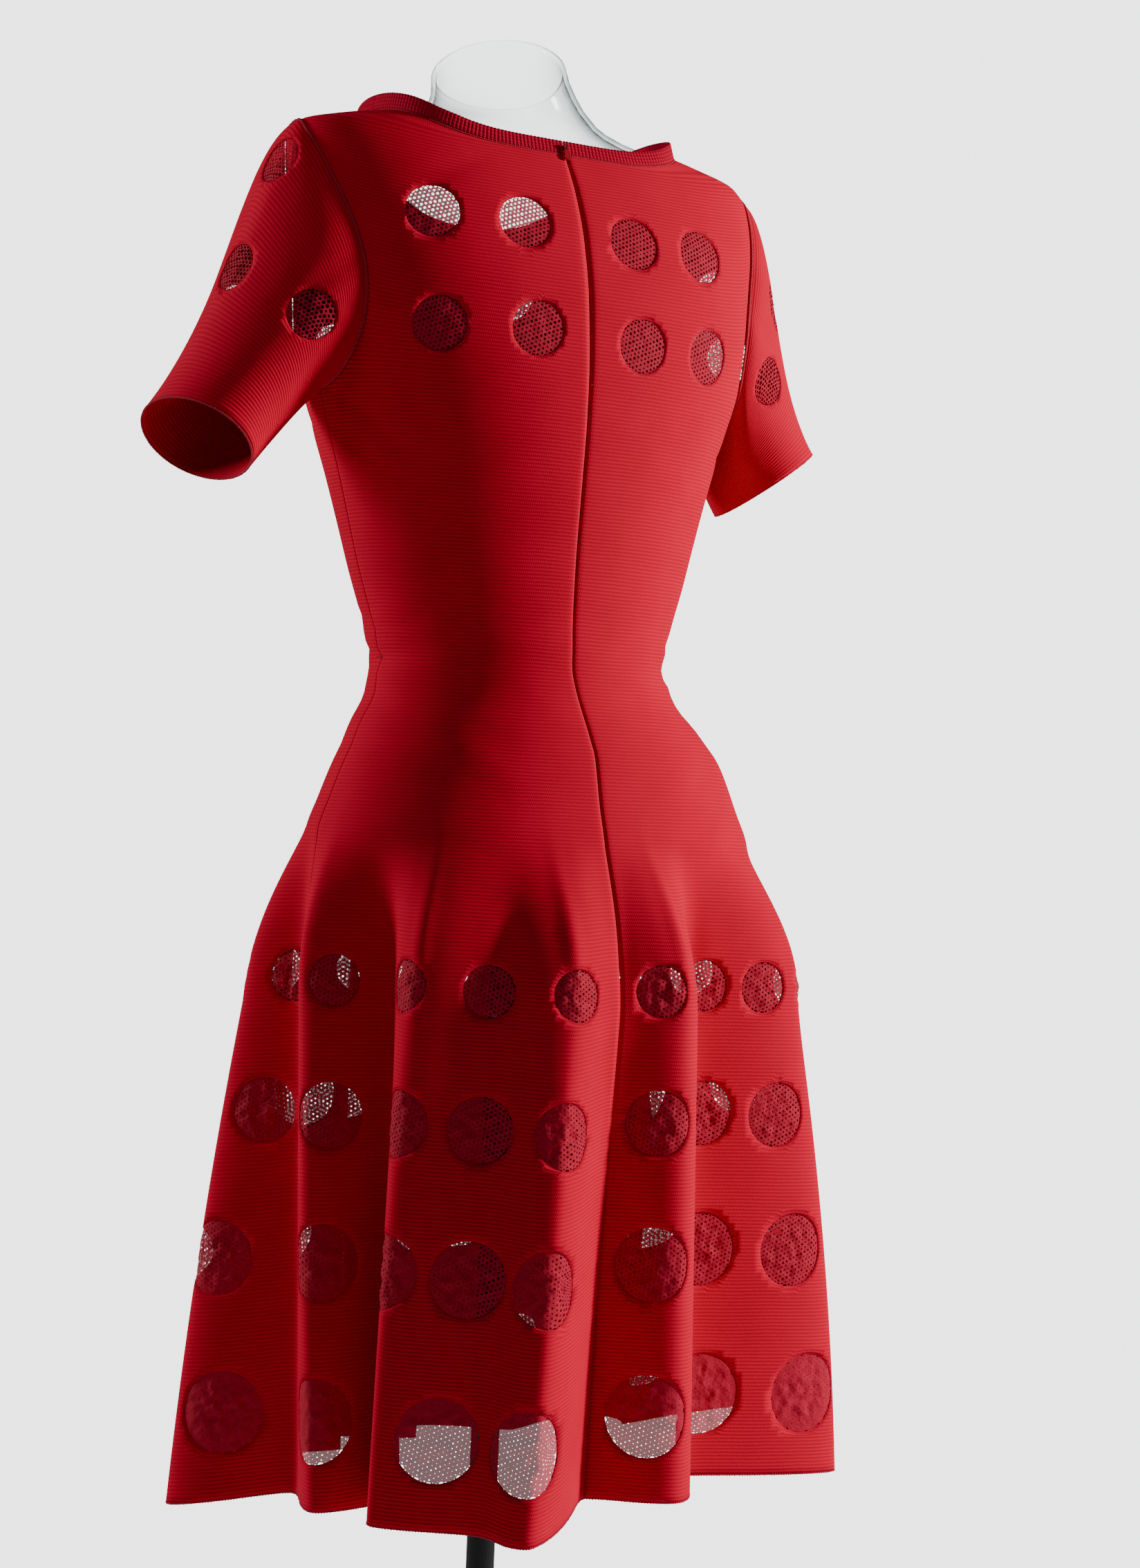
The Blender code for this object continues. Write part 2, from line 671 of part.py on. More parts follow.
def build_band(name, start, end):
    """A length of ribbed neckband between two turns in degrees."""
    samples = 60
    turns = [math.radians(start + (end - start) * i / samples) for i in range(samples + 1)]
    length = sum((band_profile(b)[0] - band_profile(a)[0]).length for a, b in zip(turns, turns[1:]))
    ribs = int(round(length / RIB_PITCH))
    wall = Wall()
    low = []
    high = []
    low_normals = []
    high_normals = []
    inner_low = []
    inner_high = []
    steps = ribs * 2
    for index in range(steps + 1):
        turn = math.radians(start + (end - start) * index / steps)
        base, direction, outward, along = band_profile(turn)
        trim = Vector()
        if index == 0:
            gap = ZIP_GAP / 2 if start == 90 else SEAM_GAP / 2
            trim = along * gap
        if index == steps:
            gap = ZIP_GAP / 2 if end == 90 else SEAM_GAP / 2
            trim = -along * gap
        rise = RIB_RISE if index % 2 and 2 < index < steps - 2 else 0.0
        foot = base + direction * SEAM_GAP + trim
        top = foot + direction * BAND_HEIGHT
        low.append(foot + outward * rise)
        high.append(top + outward * rise * RIB_RISE_AT_TOP)
        low_normals.append(outward)
        high_normals.append(outward)
        inner_low.append(foot - outward * WALL)
        inner_high.append(top - outward * WALL)
    wall.rows.append((low, thin_out(inner_low)))
    wall.rows.append((high, thin_out(inner_high)))
    return wall.build(name)


def thin_out(points):
    """Every fourth point and the last, for the plain inner face behind the ribs."""
    kept = points[:-1:4]
    return kept + [points[-1]]


def along_edge(row_points, row_normals, edge, reach):
    """Point and normal a reach in from the edge of a row, on its straight sides."""
    order = range(len(row_points)) if edge == 0 else range(len(row_points) - 1, -1, -1)
    order = list(order)
    left = reach
    for here, following in zip(order, order[1:]):
        length = (row_points[following] - row_points[here]).length
        if left <= length:
            share = left / length
            point = row_points[here].lerp(row_points[following], share)
            return point, row_normals[here].lerp(row_normals[following], share).normalized()
        left -= length
    return row_points[order[-1]], row_normals[order[-1]]


def build_zip_tape(left_rows, right_rows):
    """A strip behind the centre-back gap, just inside the cloth, on the back panels' own rows."""
    wall = Wall()
    depth = WALL + TAPE_CLEARANCE
    for (height, left, left_normals), (_, right, right_normals) in zip(left_rows, right_rows):
        if height < ZIP_END_Z - TAPE_RUN_ON:
            continue
        points = []
        normals = []
        far_right, normal_right = along_edge(right, right_normals, 0, TAPE_HALF_WIDTH)
        far_left, normal_left = along_edge(left, left_normals, 1, TAPE_HALF_WIDTH)
        middle = (left[-1] + right[0]) / 2
        normal_middle = (left_normals[-1] + right_normals[0]).normalized()
        for point, normal in ((far_left, normal_left), (middle, normal_middle), (far_right, normal_right)):
            points.append(point - normal * depth)
            normals.append(normal)
        wall.add_row(points, normals, TAPE_THICKNESS)
    return wall.build("zip_tape")


def slider_frame():
    """Matrix whose X is the hinge axis, Y points down the dress and Z away from the neckband."""
    base, direction, outward, along = band_profile(math.pi / 2)
    axis = -along
    normal = (outward - axis * outward.dot(axis)).normalized()
    down = normal.cross(axis).normalized()
    if down.z > 0.0:
        down = -down
    origin = base - down * SLIDER_RISE + normal * HINGE_STANDOFF
    frame = Matrix((axis, down, normal)).transposed().to_4x4()
    frame.translation = origin
    return frame


def add_cylinder(mesh, radius, depth, matrix, segments=ROUND_STEPS):
    bmesh.ops.create_cone(mesh, cap_ends=True, segments=segments, radius1=radius, radius2=radius,
                          depth=depth, matrix=matrix)


def add_block(mesh, low, high):
    size = Vector(high) - Vector(low)
    middle = (Vector(high) + Vector(low)) / 2
    bmesh.ops.create_cube(mesh, size=1.0, matrix=Matrix.Translation(middle) @ Matrix.Diagonal((*size, 1.0)))


def helper(name, mesh):
    piece = finish(mesh, name)
    piece.hide_render = True
    piece.display_type = "WIRE"
    return piece


def combine(piece, other, operation):
    boolean = piece.modifiers.new(operation.title(), "BOOLEAN")
    boolean.operation = operation
    boolean.solver = "EXACT"
    boolean.object = other


def place(piece, matrix):
    """Puts a piece that was modelled about its own origin at its place."""
    piece.location = matrix.to_translation()
    piece.rotation_euler = matrix.to_euler()


def build_slider(frame):
    """The slider's bridge through the zip gap, with the pin that carries the pull."""
    bridge = bmesh.new()
    half = BRIDGE_THICKNESS / 2
    foot = -HINGE_STANDOFF - WALL
    add_block(bridge, (-half, -BRIDGE_HALF_LENGTH, foot), (half, BRIDGE_HALF_LENGTH, BRIDGE_TOP))
    piece = finish(bridge, "zip_slider")
    pin = bmesh.new()
    add_cylinder(pin, PIN_RADIUS, PIN_LENGTH, Matrix.Rotation(math.pi / 2, 4, "Y"), 12)
    pin_piece = helper("slider_pin", pin)
    combine(piece, pin_piece, "UNION")
    place(piece, frame)
    place(pin_piece, frame)
    return piece


def build_pull(frame):
    """The teardrop pull with its eye round the slider's pin; its origin is on the hinge axis."""
    pull = bmesh.new()
    low_z = -PULL_THICKNESS / 2
    outline = [(-1.3 * MM, 0.4 * MM), (1.3 * MM, 0.4 * MM)]
    end_radius = PULL_WIDTH / 2
    end_y = PULL_LENGTH - end_radius
    for step in range(9):
        angle = -0.25 + (math.pi + 0.5) * step / 8
        outline.append((end_radius * math.cos(angle), end_y + end_radius * math.sin(angle)))
    face = pull.faces.new([pull.verts.new((x, y, low_z)) for x, y in outline])
    grown = bmesh.ops.extrude_face_region(pull, geom=[face])
    moved = [item for item in grown["geom"] if isinstance(item, bmesh.types.BMVert)]
    bmesh.ops.translate(pull, verts=moved, vec=(0, 0, PULL_THICKNESS))
    piece = finish(pull, "zip_pull")
    turn = Matrix.Rotation(math.pi / 2, 4, "Y")
    eye = bmesh.new()
    add_cylinder(eye, EYE_RADIUS, EYE_LENGTH, turn, 14)
    eye_piece = helper("pull_eye", eye)
    combine(piece, eye_piece, "UNION")
    bore = bmesh.new()
    add_cylinder(bore, EYE_BORE_RADIUS, 5 * MM, turn, 12)
    bore_piece = helper("pull_bore", bore)
    combine(piece, bore_piece, "DIFFERENCE")
    slot = bmesh.new()
    add_block(slot, (-PULL_SLOT / 2, -2 * MM, -2 * MM), (PULL_SLOT / 2, 2.4 * MM, 2 * MM))
    slot_piece = helper("pull_slot", slot)
    combine(piece, slot_piece, "DIFFERENCE")
    for item in (piece, eye_piece, bore_piece, slot_piece):
        place(item, frame)
    return piece


def form_point(around, height, depth):
    """Point of the form, a depth below the cloth's outer face."""
    point = torso_point(around, height)
    from_zip = point.x - torso_point(math.pi / 2, height).x
    relief = 0.0
    if math.sin(around) > 0.0 and height < NECK_POINT_Z:
        relief = FORM_ZIP_RELIEF * math.exp(-(from_zip / FORM_ZIP_RELIEF_WIDTH) ** 2)
    tuck = FORM_TUCK * max(HIP_Z - height, 0.0) / (HIP_Z - FORM_BOTTOM_Z)
    above = (height - FORM_YOKE_START_Z) / (UNDERARM_Z - FORM_YOKE_START_Z)
    yoke = FORM_YOKE_CLEARANCE * min(max(above, 0.0), 1.0)
    return point - torso_normal(around, height) * (depth + relief + tuck + yoke)


def build_form():
    """The hollow torso: open at its slanted neck, closed and rounded at the bottom."""
    cover = WALL + FORM_CLEARANCE
    torso_step = (UNDERARM_Z - HIP_Z) / TORSO_ROWS
    heights = [FORM_FIRST_RING_Z] + [HIP_Z + torso_step * row for row in FORM_TORSO_ROWS]
    heights += FORM_YOKE_HEIGHTS
    rows = []
    for height in heights:
        rows.append(("section", height))
    rows.append(("rim", 0.5))
    rows.append(("rim", 1.0))
    count = ROUND_STEPS
    angles = [2 * math.pi * i / count for i in range(count)]
    outer = []
    inner = []
    axis_point = Vector((HIP_SHIFT, SKIRT_Y * 0.5, 0.0))
    for share, drop in FORM_BOTTOM_ROUNDING:
        for skin, depth in ((outer, cover), (inner, cover + FORM_WALL)):
            lift = FORM_BOTTOM_Z + drop + (FORM_WALL if skin is inner else 0.0)
            ring = []
            for angle in angles:
                point = form_point(angle, FORM_FIRST_RING_Z, depth)
                flat = axis_point + (point - axis_point) * share
                ring.append(Vector((flat.x, flat.y, lift)))
            skin.append(ring)
    for kind, value in rows:
        for skin, depth in ((outer, cover), (inner, cover + FORM_WALL)):
            ring = []
            for angle in angles:
                height = value
                if kind == "rim":
                    end = FORM_RIM_MIDDLE_Z + FORM_RIM_RISE * math.sin(angle)
                    height = heights[-1] + (end - heights[-1]) * value
                    if end < heights[-1] + FORM_RIM_LEAST:
                        height = heights[-1] + FORM_RIM_LEAST * value
                ring.append(form_point(angle, height, depth))
            skin.append(ring)
    mesh = bmesh.new()
    outer_verts = [[mesh.verts.new(p) for p in ring] for ring in outer]
    inner_verts = [[mesh.verts.new(p) for p in ring] for ring in inner]
    for low, high in zip(outer_verts, outer_verts[1:]):
        stitch(mesh, low, high, True, False)
    for low, high in zip(inner_verts, inner_verts[1:]):
        stitch(mesh, low, high, True, True)
    stitch(mesh, outer_verts[-1], inner_verts[-1], True, False)
    mesh.faces.new(outer_verts[0][::-1])
    mesh.faces.new(inner_verts[0])
    return finish(mesh, "form_torso", 60)


def turned(name, profile, segments=STAND_STEPS):
    """A solid turned about Z from (radius, height) points, bottom to top, with flat ends."""
    mesh = bmesh.new()
    rings = []
    for radius, height in profile:
        ring = []
        for step in range(segments):
            angle = 2 * math.pi * step / segments
            ring.append(mesh.verts.new((radius * math.cos(angle), radius * math.sin(angle), height)))
        rings.append(ring)
    for low, high in zip(rings, rings[1:]):
        stitch(mesh, low, high, True, False)
    mesh.faces.new(rings[0][::-1])
    mesh.faces.new(rings[-1])
    return finish(mesh, name)


def turned_ring(name, profile, segments=STAND_STEPS):
    """A ring turned about Z from a closed profile of (radius, height) points."""
    mesh = bmesh.new()
    rings = []
    for radius, height in profile:
        ring = []
        for step in range(segments):
            angle = 2 * math.pi * step / segments
            ring.append(mesh.verts.new((radius * math.cos(angle), radius * math.sin(angle), height)))
        rings.append(ring)
    for low, high in zip(rings, rings[1:] + rings[:1]):
        stitch(mesh, low, high, True, False)
    return finish(mesh, name)


def build_stand():
    """Base plate, collar, pole and the socket that carries the form."""
    edge = 1.5 * MM
    base = turned("stand_base", [(BASE_RADIUS - edge, 0.0), (BASE_RADIUS, edge),
                                 (BASE_RADIUS, BASE_THICKNESS - edge), (BASE_RADIUS - edge, BASE_THICKNESS)],
                  48)
    foot = BASE_THICKNESS + STAND_GAP
    bore = POLE_RADIUS + STAND_GAP
    chamfer = 2.5 * MM
    collar = turned_ring("stand_collar", [(bore, foot), (COLLAR_RADIUS, foot),
                                          (COLLAR_RADIUS, foot + COLLAR_HEIGHT - chamfer),
                                          (COLLAR_RADIUS - chamfer, foot + COLLAR_HEIGHT),
                                          (bore, foot + COLLAR_HEIGHT)])
    flange_top = FORM_BOTTOM_Z - STAND_GAP
    flange_foot = flange_top - FLANGE_THICKNESS
    pole_top = flange_foot - STAND_GAP
    pole = turned("stand_pole", [(POLE_RADIUS, foot), (POLE_RADIUS, pole_top)])
    socket_foot = flange_foot - SOCKET_LENGTH
    socket = turned("form_socket_blank", [(SOCKET_RADIUS - chamfer, socket_foot),
                                          (SOCKET_RADIUS, socket_foot + chamfer),
                                          (SOCKET_RADIUS, flange_foot), (FLANGE_RADIUS, flange_foot + edge),
                                          (FLANGE_RADIUS, flange_top)])
    socket.name = "form_socket"
    cutter_mesh = bmesh.new()
    depth = flange_foot - socket_foot + 0.02
    middle = Matrix.Translation((0.0, 0.0, flange_foot - depth / 2))
    add_cylinder(cutter_mesh, bore, depth, middle, STAND_STEPS)
    cutter = helper("socket_bore", cutter_mesh)
    combine(socket, cutter, "DIFFERENCE")
    return base, collar, pole, socket


def main():
    for old in list(bpy.data.objects):
        bpy.data.objects.remove(old, do_unlink=True)

    red = (0.50, 0.004, 0.022)
    left_rows = panel_rows(0, 90, (0,))
    right_rows = panel_rows(90, 180, (1,))
    cloth = [
        build_panel("dress_front", panel_rows(180, 360, (2, 3))),
        build_panel("dress_back_left", left_rows),
        build_panel("dress_back_right", right_rows),
        build_sleeve("sleeve_left", CUFFS[0]),
        build_sleeve("sleeve_right", CUFFS[1]),
    ]
    for piece in cloth:
        give_material(piece, "red_knit", red, 0.85)
    bands = [
        build_band("neckband_front", 180, 360),
        build_band("neckband_back_left", 0, 90),
        build_band("neckband_back_right", 90, 180),
    ]
    for piece in bands:
        give_material(piece, "red_rib", (0.42, 0.004, 0.020), 0.85)
    give_material(build_zip_tape(left_rows, right_rows), "zip_tape_red", (0.25, 0.003, 0.012), 0.7)
    frame = slider_frame()
    give_material(build_slider(frame), "slider_metal", (0.55, 0.53, 0.52), 0.35, 1.0)
    give_material(build_pull(frame), "pull_enamel", (0.40, 0.004, 0.020), 0.35)
    give_material(build_form(), "clear_plastic", (0.92, 0.94, 0.95), 0.05, 0.0, 0.3)
    base, collar, pole, socket = build_stand()
    for piece in (base, collar, pole):
        give_material(piece, "black_steel", (0.012, 0.012, 0.013), 0.4, 0.0)
    give_material(socket, "clear_socket", (0.85, 0.87, 0.88), 0.15, 0.0, 0.5)


main()
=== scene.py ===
# %% [markdown]
# # A red knitted dress on a clear torso form
# The real object is a fitted and flared dress of ribbed stretch knit, with round dots of openwork lace, on a
# hollow plastic torso. The CAD frame gives every piece its size and place. This lesson gives the same pieces
# their looks: thin cloth with real holes, net, ribs, seams, clear plastic and soft light.

# %% Load the frame
import math

import bmesh
import bpy
import numpy as np
from mathutils import Matrix, Vector


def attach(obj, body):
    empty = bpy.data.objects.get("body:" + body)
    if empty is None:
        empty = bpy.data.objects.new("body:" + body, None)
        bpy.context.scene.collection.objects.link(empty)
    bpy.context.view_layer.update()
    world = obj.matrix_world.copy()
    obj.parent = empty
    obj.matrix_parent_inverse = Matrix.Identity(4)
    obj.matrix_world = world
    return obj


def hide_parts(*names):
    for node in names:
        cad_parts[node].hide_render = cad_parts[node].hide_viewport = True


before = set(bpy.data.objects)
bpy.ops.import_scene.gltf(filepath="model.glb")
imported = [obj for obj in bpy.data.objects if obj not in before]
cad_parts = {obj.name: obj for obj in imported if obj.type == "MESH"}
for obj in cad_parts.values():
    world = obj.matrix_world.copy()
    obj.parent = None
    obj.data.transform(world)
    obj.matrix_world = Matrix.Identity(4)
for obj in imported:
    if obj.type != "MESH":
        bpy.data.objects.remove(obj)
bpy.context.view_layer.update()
MM = 0.001

# %% [markdown]
# ## The camera
# A picture is matched before it is decorated. The camera stands level, 2.6 m away, behind the dress and to the
# wearer's left, and it leans a little. Its lens is worked out from the size of the image in pixels.

# %% Camera
IMAGE_HEIGHT_PX = 2268
FOCAL_PX = 5590
SENSOR_HEIGHT_MM = 36
CAMERA_AROUND = math.radians(28)
CAMERA_LEAN = math.radians(2.3)
CAMERA_DISTANCE = 2.6
CAMERA_SIDE_STEP = 0.0395
CAMERA_HEIGHT = 0.965


def new_object(name, data):
    """An object at the origin, in the scene."""
    thing = bpy.data.objects.new(name, data)
    bpy.context.collection.objects.link(thing)
    return thing


towards_camera = Vector((math.sin(CAMERA_AROUND), math.cos(CAMERA_AROUND), 0))
picture_right = Vector((-math.cos(CAMERA_AROUND), math.sin(CAMERA_AROUND), 0))
straight_up = Vector((0, 0, 1))
leaning_right = picture_right * math.cos(CAMERA_LEAN) + straight_up * math.sin(CAMERA_LEAN)
leaning_up = straight_up * math.cos(CAMERA_LEAN) - picture_right * math.sin(CAMERA_LEAN)
stand_point = towards_camera * CAMERA_DISTANCE + picture_right * CAMERA_SIDE_STEP + straight_up * CAMERA_HEIGHT
camera = new_object("camera", bpy.data.cameras.new("camera"))
camera.data.sensor_fit = "VERTICAL"
camera.data.sensor_height = SENSOR_HEIGHT_MM
camera.data.lens = SENSOR_HEIGHT_MM * FOCAL_PX / IMAGE_HEIGHT_PX
facing = Matrix((leaning_right, leaning_up, towards_camera)).transposed().to_4x4()
camera.matrix_world = Matrix.Translation(stand_point) @ facing
bpy.context.scene.camera = camera
print("lens", round(camera.data.lens, 1), "mm")

# %% [markdown]
# ## Helpers for every material and every node tree
# Colours are picked as they look on a screen, and a shader needs them linear, so one function turns the one into
# the other. One more adds any node with its settings and its links, for shaders and Geometry Nodes alike.

# %% Colour and node helpers
def linear(code):
    """Linear colour of an sRGB hex code."""
    shown = [int(code[i:i + 2], 16) / 255 for i in (1, 3, 5)]
    return tuple(c / 12.92 if c <= 0.04045 else ((c + 0.055) / 1.055) ** 2.4 for c in shown) + (1.0,)


def add_node(tree, kind, inputs=None, **settings):
    """A node with its settings. An input is a value, an output, or a node, whose first output it takes."""
    node = tree.nodes.new(kind)
    for name, value in settings.items():
        setattr(node, name, value)
    for name, value in (inputs or {}).items():
        if isinstance(value, bpy.types.Node):
            value = value.outputs[0]
        if isinstance(value, bpy.types.NodeSocket):
            tree.links.new(value, node.inputs[name])
        else:
            node.inputs[name].default_value = value
    return node


def new_material(name):
    """A material and its empty tree."""
    material = bpy.data.materials.new(name)
    material.use_nodes = True
    material.node_tree.nodes.clear()
    return material, material.node_tree


def finish_material(tree, shader, height, depth):
    """Links a shader to the output, with a bump of a real depth in metres."""
    bump = add_node(tree, "ShaderNodeBump", {"Height": height, "Distance": depth, "Strength": 1.0})
    tree.links.new(bump.outputs[0], shader.inputs["Normal"])
    add_node(tree, "ShaderNodeOutputMaterial", {"Surface": shader})


print("helpers ready")

# %% [markdown]
# ## The knit
# The cloth is a viscose rib, knitted across: fine ridges run round the body, about 2.4 mm apart, and each ridge
# is a row of small loops. The pattern has to bend with the cloth, so it reads the piece's own UV map, which is
# laid out in metres. Loops of 1.3 mm are at the limit of what a picture shows, so they stay shallow.

# %% Knit material
COURSE_MM = 2.4
LOOP_MM = 1.3
FUZZ_MM = 0.8


def knit_material(name, light, dark, course_depth, loop_share):
    """Viscose rib: matt, softly glowing at grazing angles, with painted shade making it darker between its ridges.
    """
    material, tree = new_material(name)
    place = add_node(tree, "ShaderNodeUVMap", uv_map="cloth")
    apart = add_node(tree, "ShaderNodeSeparateXYZ", {0: place}).outputs
    wander = add_node(tree, "ShaderNodeTexNoise", {"Vector": place, "Scale": 14.0, "Detail": 2.0})
    along = add_node(tree, "ShaderNodeMath", {0: wander, 1: 0.9 * COURSE_MM * MM, 2: apart["Y"]},
                     operation="MULTIPLY_ADD")
    turn = add_node(tree, "ShaderNodeMath", {0: along, 1: 2 * math.pi / (COURSE_MM * MM)}, operation="MULTIPLY")
    ridge = add_node(tree, "ShaderNodeMath", {0: turn}, operation="SINE")
    across = add_node(tree, "ShaderNodeMath", {0: apart["X"], 1: 2 * math.pi / (LOOP_MM * MM)},
                      operation="MULTIPLY")
    slanted = add_node(tree, "ShaderNodeMath", {0: turn, 1: 0.5, 2: across}, operation="MULTIPLY_ADD")
    loop = add_node(tree, "ShaderNodeMath", {0: slanted}, operation="SINE")
    fuzz = add_node(tree, "ShaderNodeTexNoise", {"Vector": place, "Scale": 1 / (FUZZ_MM * MM), "Detail": 3.0})
    ribs = add_node(tree, "ShaderNodeMath", {0: loop, 1: loop_share, 2: ridge}, operation="MULTIPLY_ADD")
    height = add_node(tree, "ShaderNodeMath", {0: fuzz, 1: 0.8, 2: ribs}, operation="MULTIPLY_ADD")
    # painted shade and yarn tone: the colour follows the bump height, so the grooves between the ribs are painted
    # darker, and noise patches add the yarn's uneven tone
    groove_shade_and_tone = add_node(tree, "ShaderNodeMapRange", {"Value": height, "From Min": -1.2, "From Max": 1.8})
    patch = add_node(tree, "ShaderNodeTexNoise", {"Vector": place, "Scale": 30.0, "Detail": 4.0})
    faint = add_node(tree, "ShaderNodeMath", {0: patch, 1: 0.35}, operation="MULTIPLY")
    groove_shade_and_tone = add_node(tree, "ShaderNodeMath", {0: groove_shade_and_tone, 1: 0.75, 2: faint}, operation="MULTIPLY_ADD")
    colour = add_node(tree, "ShaderNodeMix", {0: groove_shade_and_tone, 6: linear(dark), 7: linear(light)}, data_type="RGBA")
    shader = add_node(tree, "ShaderNodeBsdfPrincipled", {
        "Base Color": colour.outputs[2], "Roughness": 0.9, "Specular IOR Level": 0.1,
        "Sheen Weight": 0.03, "Sheen Roughness": 0.45, "Sheen Tint": linear("#FF2040")})
    finish_material(tree, shader, height, course_depth)
    return material


# for each knit, the first colour is the ridges and the second is the painted shade in the grooves
red_knit = knit_material("viscose rib knit", "#D60032", "#A0001C", 0.11 * MM, 0.25)
red_band_knit = knit_material("viscose band knit", "#C20430", "#80001A", 0.08 * MM, 0.5)
print("knit courses every", COURSE_MM, "mm")

# %% [markdown]
# ## Net, thread, enamel and steel
# Most finishes have one grain, which moves their colour, gloss and height a little. The net of the dots is the
# same thread as the knit. The real net is finer than the picture can show, so its thread lets some light through.

# %% Finishes with a grain
def grained_material(name, dark, light, roughness, grain_mm, grain_depth_mm, metallic=0.0):
    """A solid finish with its own grain in colour, gloss and height."""
    material, tree = new_material(name)
    place = add_node(tree, "ShaderNodeTexCoord").outputs["Object"]
    grain = add_node(tree, "ShaderNodeTexNoise", {"Vector": place, "Scale": 1 / (grain_mm * MM), "Detail": 4.0})
    colour = add_node(tree, "ShaderNodeMix", {0: grain, 6: linear(dark), 7: linear(light)}, data_type="RGBA")
    rough = add_node(tree, "ShaderNodeMapRange", {"Value": grain, "To Min": roughness * 0.8,
                                                  "To Max": roughness * 1.2})
    shader = add_node(tree, "ShaderNodeBsdfPrincipled", {
        "Base Color": colour.outputs[2], "Roughness": rough, "Metallic": metallic})
    finish_material(tree, shader, grain, grain_depth_mm * MM)
    return material


def net_material():
    """Fine viscose net: a matt thread that hides nearly all of what lies behind it."""
    material, tree = new_material("viscose net")
    place = add_node(tree, "ShaderNodeTexCoord").outputs["Object"]
    speck = add_node(tree, "ShaderNodeTexNoise", {"Vector": place, "Scale": 700.0, "Detail": 2.0})
    colour = add_node(tree, "ShaderNodeMix", {0: speck, 6: linear("#8A001C"), 7: linear("#C40834")},
                      data_type="RGBA")
    shader = add_node(tree, "ShaderNodeBsdfPrincipled", {
        "Base Color": colour.outputs[2], "Roughness": 0.8, "Specular IOR Level": 0.2,
        "Sheen Weight": 0.10, "Sheen Tint": linear("#FF6A70"), "Alpha": 0.96})
    finish_material(tree, shader, speck, 0.3 * MM)
    return material


net_thread = net_material()
black_steel = grained_material("satin black painted steel", "#080809", "#101011", 0.38, 1.5, 0.01)
slider_metal = grained_material("nickel plated brass", "#BDBAB6", "#D0CDC9", 0.25, 0.6, 0.01, 1.0)
pull_enamel = grained_material("red enamel", "#8C081A", "#A50C21", 0.35, 0.8, 0.01)
tape_weave = grained_material("woven polyester tape", "#640010", "#8A0017", 0.7, 0.5, 0.08)
seam_thread = grained_material("overlocked viscose thread", "#8A001C", "#C80634", 0.85, 0.7, 0.1)
coil_nylon = grained_material("dyed nylon coil", "#5A000E", "#7C0014", 0.5, 0.6, 0.02)
print("grained finishes ready")

# %% [markdown]
# ## Clear acrylic
# The form is moulded clear acrylic: it shows by its edges and its reflections. A full glass shader would make
# the cloth behind it noisy and dark, so the clear part is plain transparency, and gloss grows at grazing angles.

# %% Clear material
def clear_material(name, edge_tint):
    """Moulded clear acrylic: polished, a little grey where it is seen edge on."""
    material, tree = new_material(name)
    place = add_node(tree, "ShaderNodeTexCoord").outputs["Object"]
    ripple = add_node(tree, "ShaderNodeTexNoise", {"Vector": place, "Scale": 9.0, "Detail": 1.0})
    bump = add_node(tree, "ShaderNodeBump", {"Height": ripple, "Distance": 1.2 * MM, "Strength": 1.0})
    away = add_node(tree, "ShaderNodeLayerWeight", {"Blend": 0.5}).outputs["Facing"]
    edge_on = add_node(tree, "ShaderNodeMath", {0: away, 1: 3.0}, operation="POWER")
    tint = add_node(tree, "ShaderNodeMix", {0: edge_on, 6: linear("#FCFDFD"), 7: linear(edge_tint)},
                    data_type="RGBA")
    through = add_node(tree, "ShaderNodeBsdfTransparent", {"Color": tint.outputs[2]})
    gloss = add_node(tree, "ShaderNodeBsdfPrincipled", {
        "Base Color": linear("#F4F6F6"), "Metallic": 1.0, "Roughness": 0.06, "Normal": bump})
    uneven = add_node(tree, "ShaderNodeLayerWeight", {"Blend": 0.5, "Normal": bump}).outputs["Facing"]
    grazing = add_node(tree, "ShaderNodeMath", {0: uneven, 1: 5.0}, operation="POWER")
    front_share = add_node(tree, "ShaderNodeMapRange", {"Value": grazing, "To Min": 0.045, "To Max": 0.9})
    behind = add_node(tree, "ShaderNodeNewGeometry").outputs["Backfacing"]
    side_share = add_node(tree, "ShaderNodeMath", {0: behind, 1: -0.75, 2: 1.0}, operation="MULTIPLY_ADD")
    share = add_node(tree, "ShaderNodeMath", {0: front_share, 1: side_share}, operation="MULTIPLY")
    mixed = add_node(tree, "ShaderNodeMixShader", {0: share, 1: through, 2: gloss})
    add_node(tree, "ShaderNodeOutputMaterial", {"Surface": mixed})
    return material


clear_acrylic = clear_material("moulded clear acrylic", "#A9B0B2")
clear_socket = clear_material("turned clear acrylic", "#9CA4A6")
print("clear plastic ready")

# %% [markdown]
# ## The two surfaces of the dress
# The whole dress lies on two surfaces, as it does in CAD. The torso comes from a table of horizontal sections.
# The skirt comes from a table of ridges and valleys. Reading both with numpy makes a fine grid in one go.

# %% Driving sizes of the cloth
WAIST_Z = 1.04
HIP_Z = 0.93
UNDERARM_Z = 1.214
SHOULDER_TIP_Z = 1.384
NECK_POINT_Z = 1.399
NECK_BACK_Z = 1.378
NECK_FRONT_Z = 1.335
ZIP_END_Z = 0.842
SHOULDER_SHIFT = 0.011
SHOULDER_SLOPE = 0.046
HIP_SHIFT = -0.012
HIP_SHIFT_Z = 0.985
SKIRT_Y = 0.010
SKIRT_MIDDLE = 0.26
FLUTE_SWELL = 1.2
FLUTE_BOW = 0.35
FLUTE_LEAVE = 0.45
ARMHOLE_BITE = math.radians(33)
ARMHOLE_LIFT = 0.8
ARMHOLE_ROUND = 0.62
NECK_BACK_ROUND = 4
NECK_FRONT_ROUND = 2.6
NECK_BLEND = 8
YOKE_TIP = 0.90
BITE_FADE = 2.4
HEM_MIDDLE_Z = 0.5

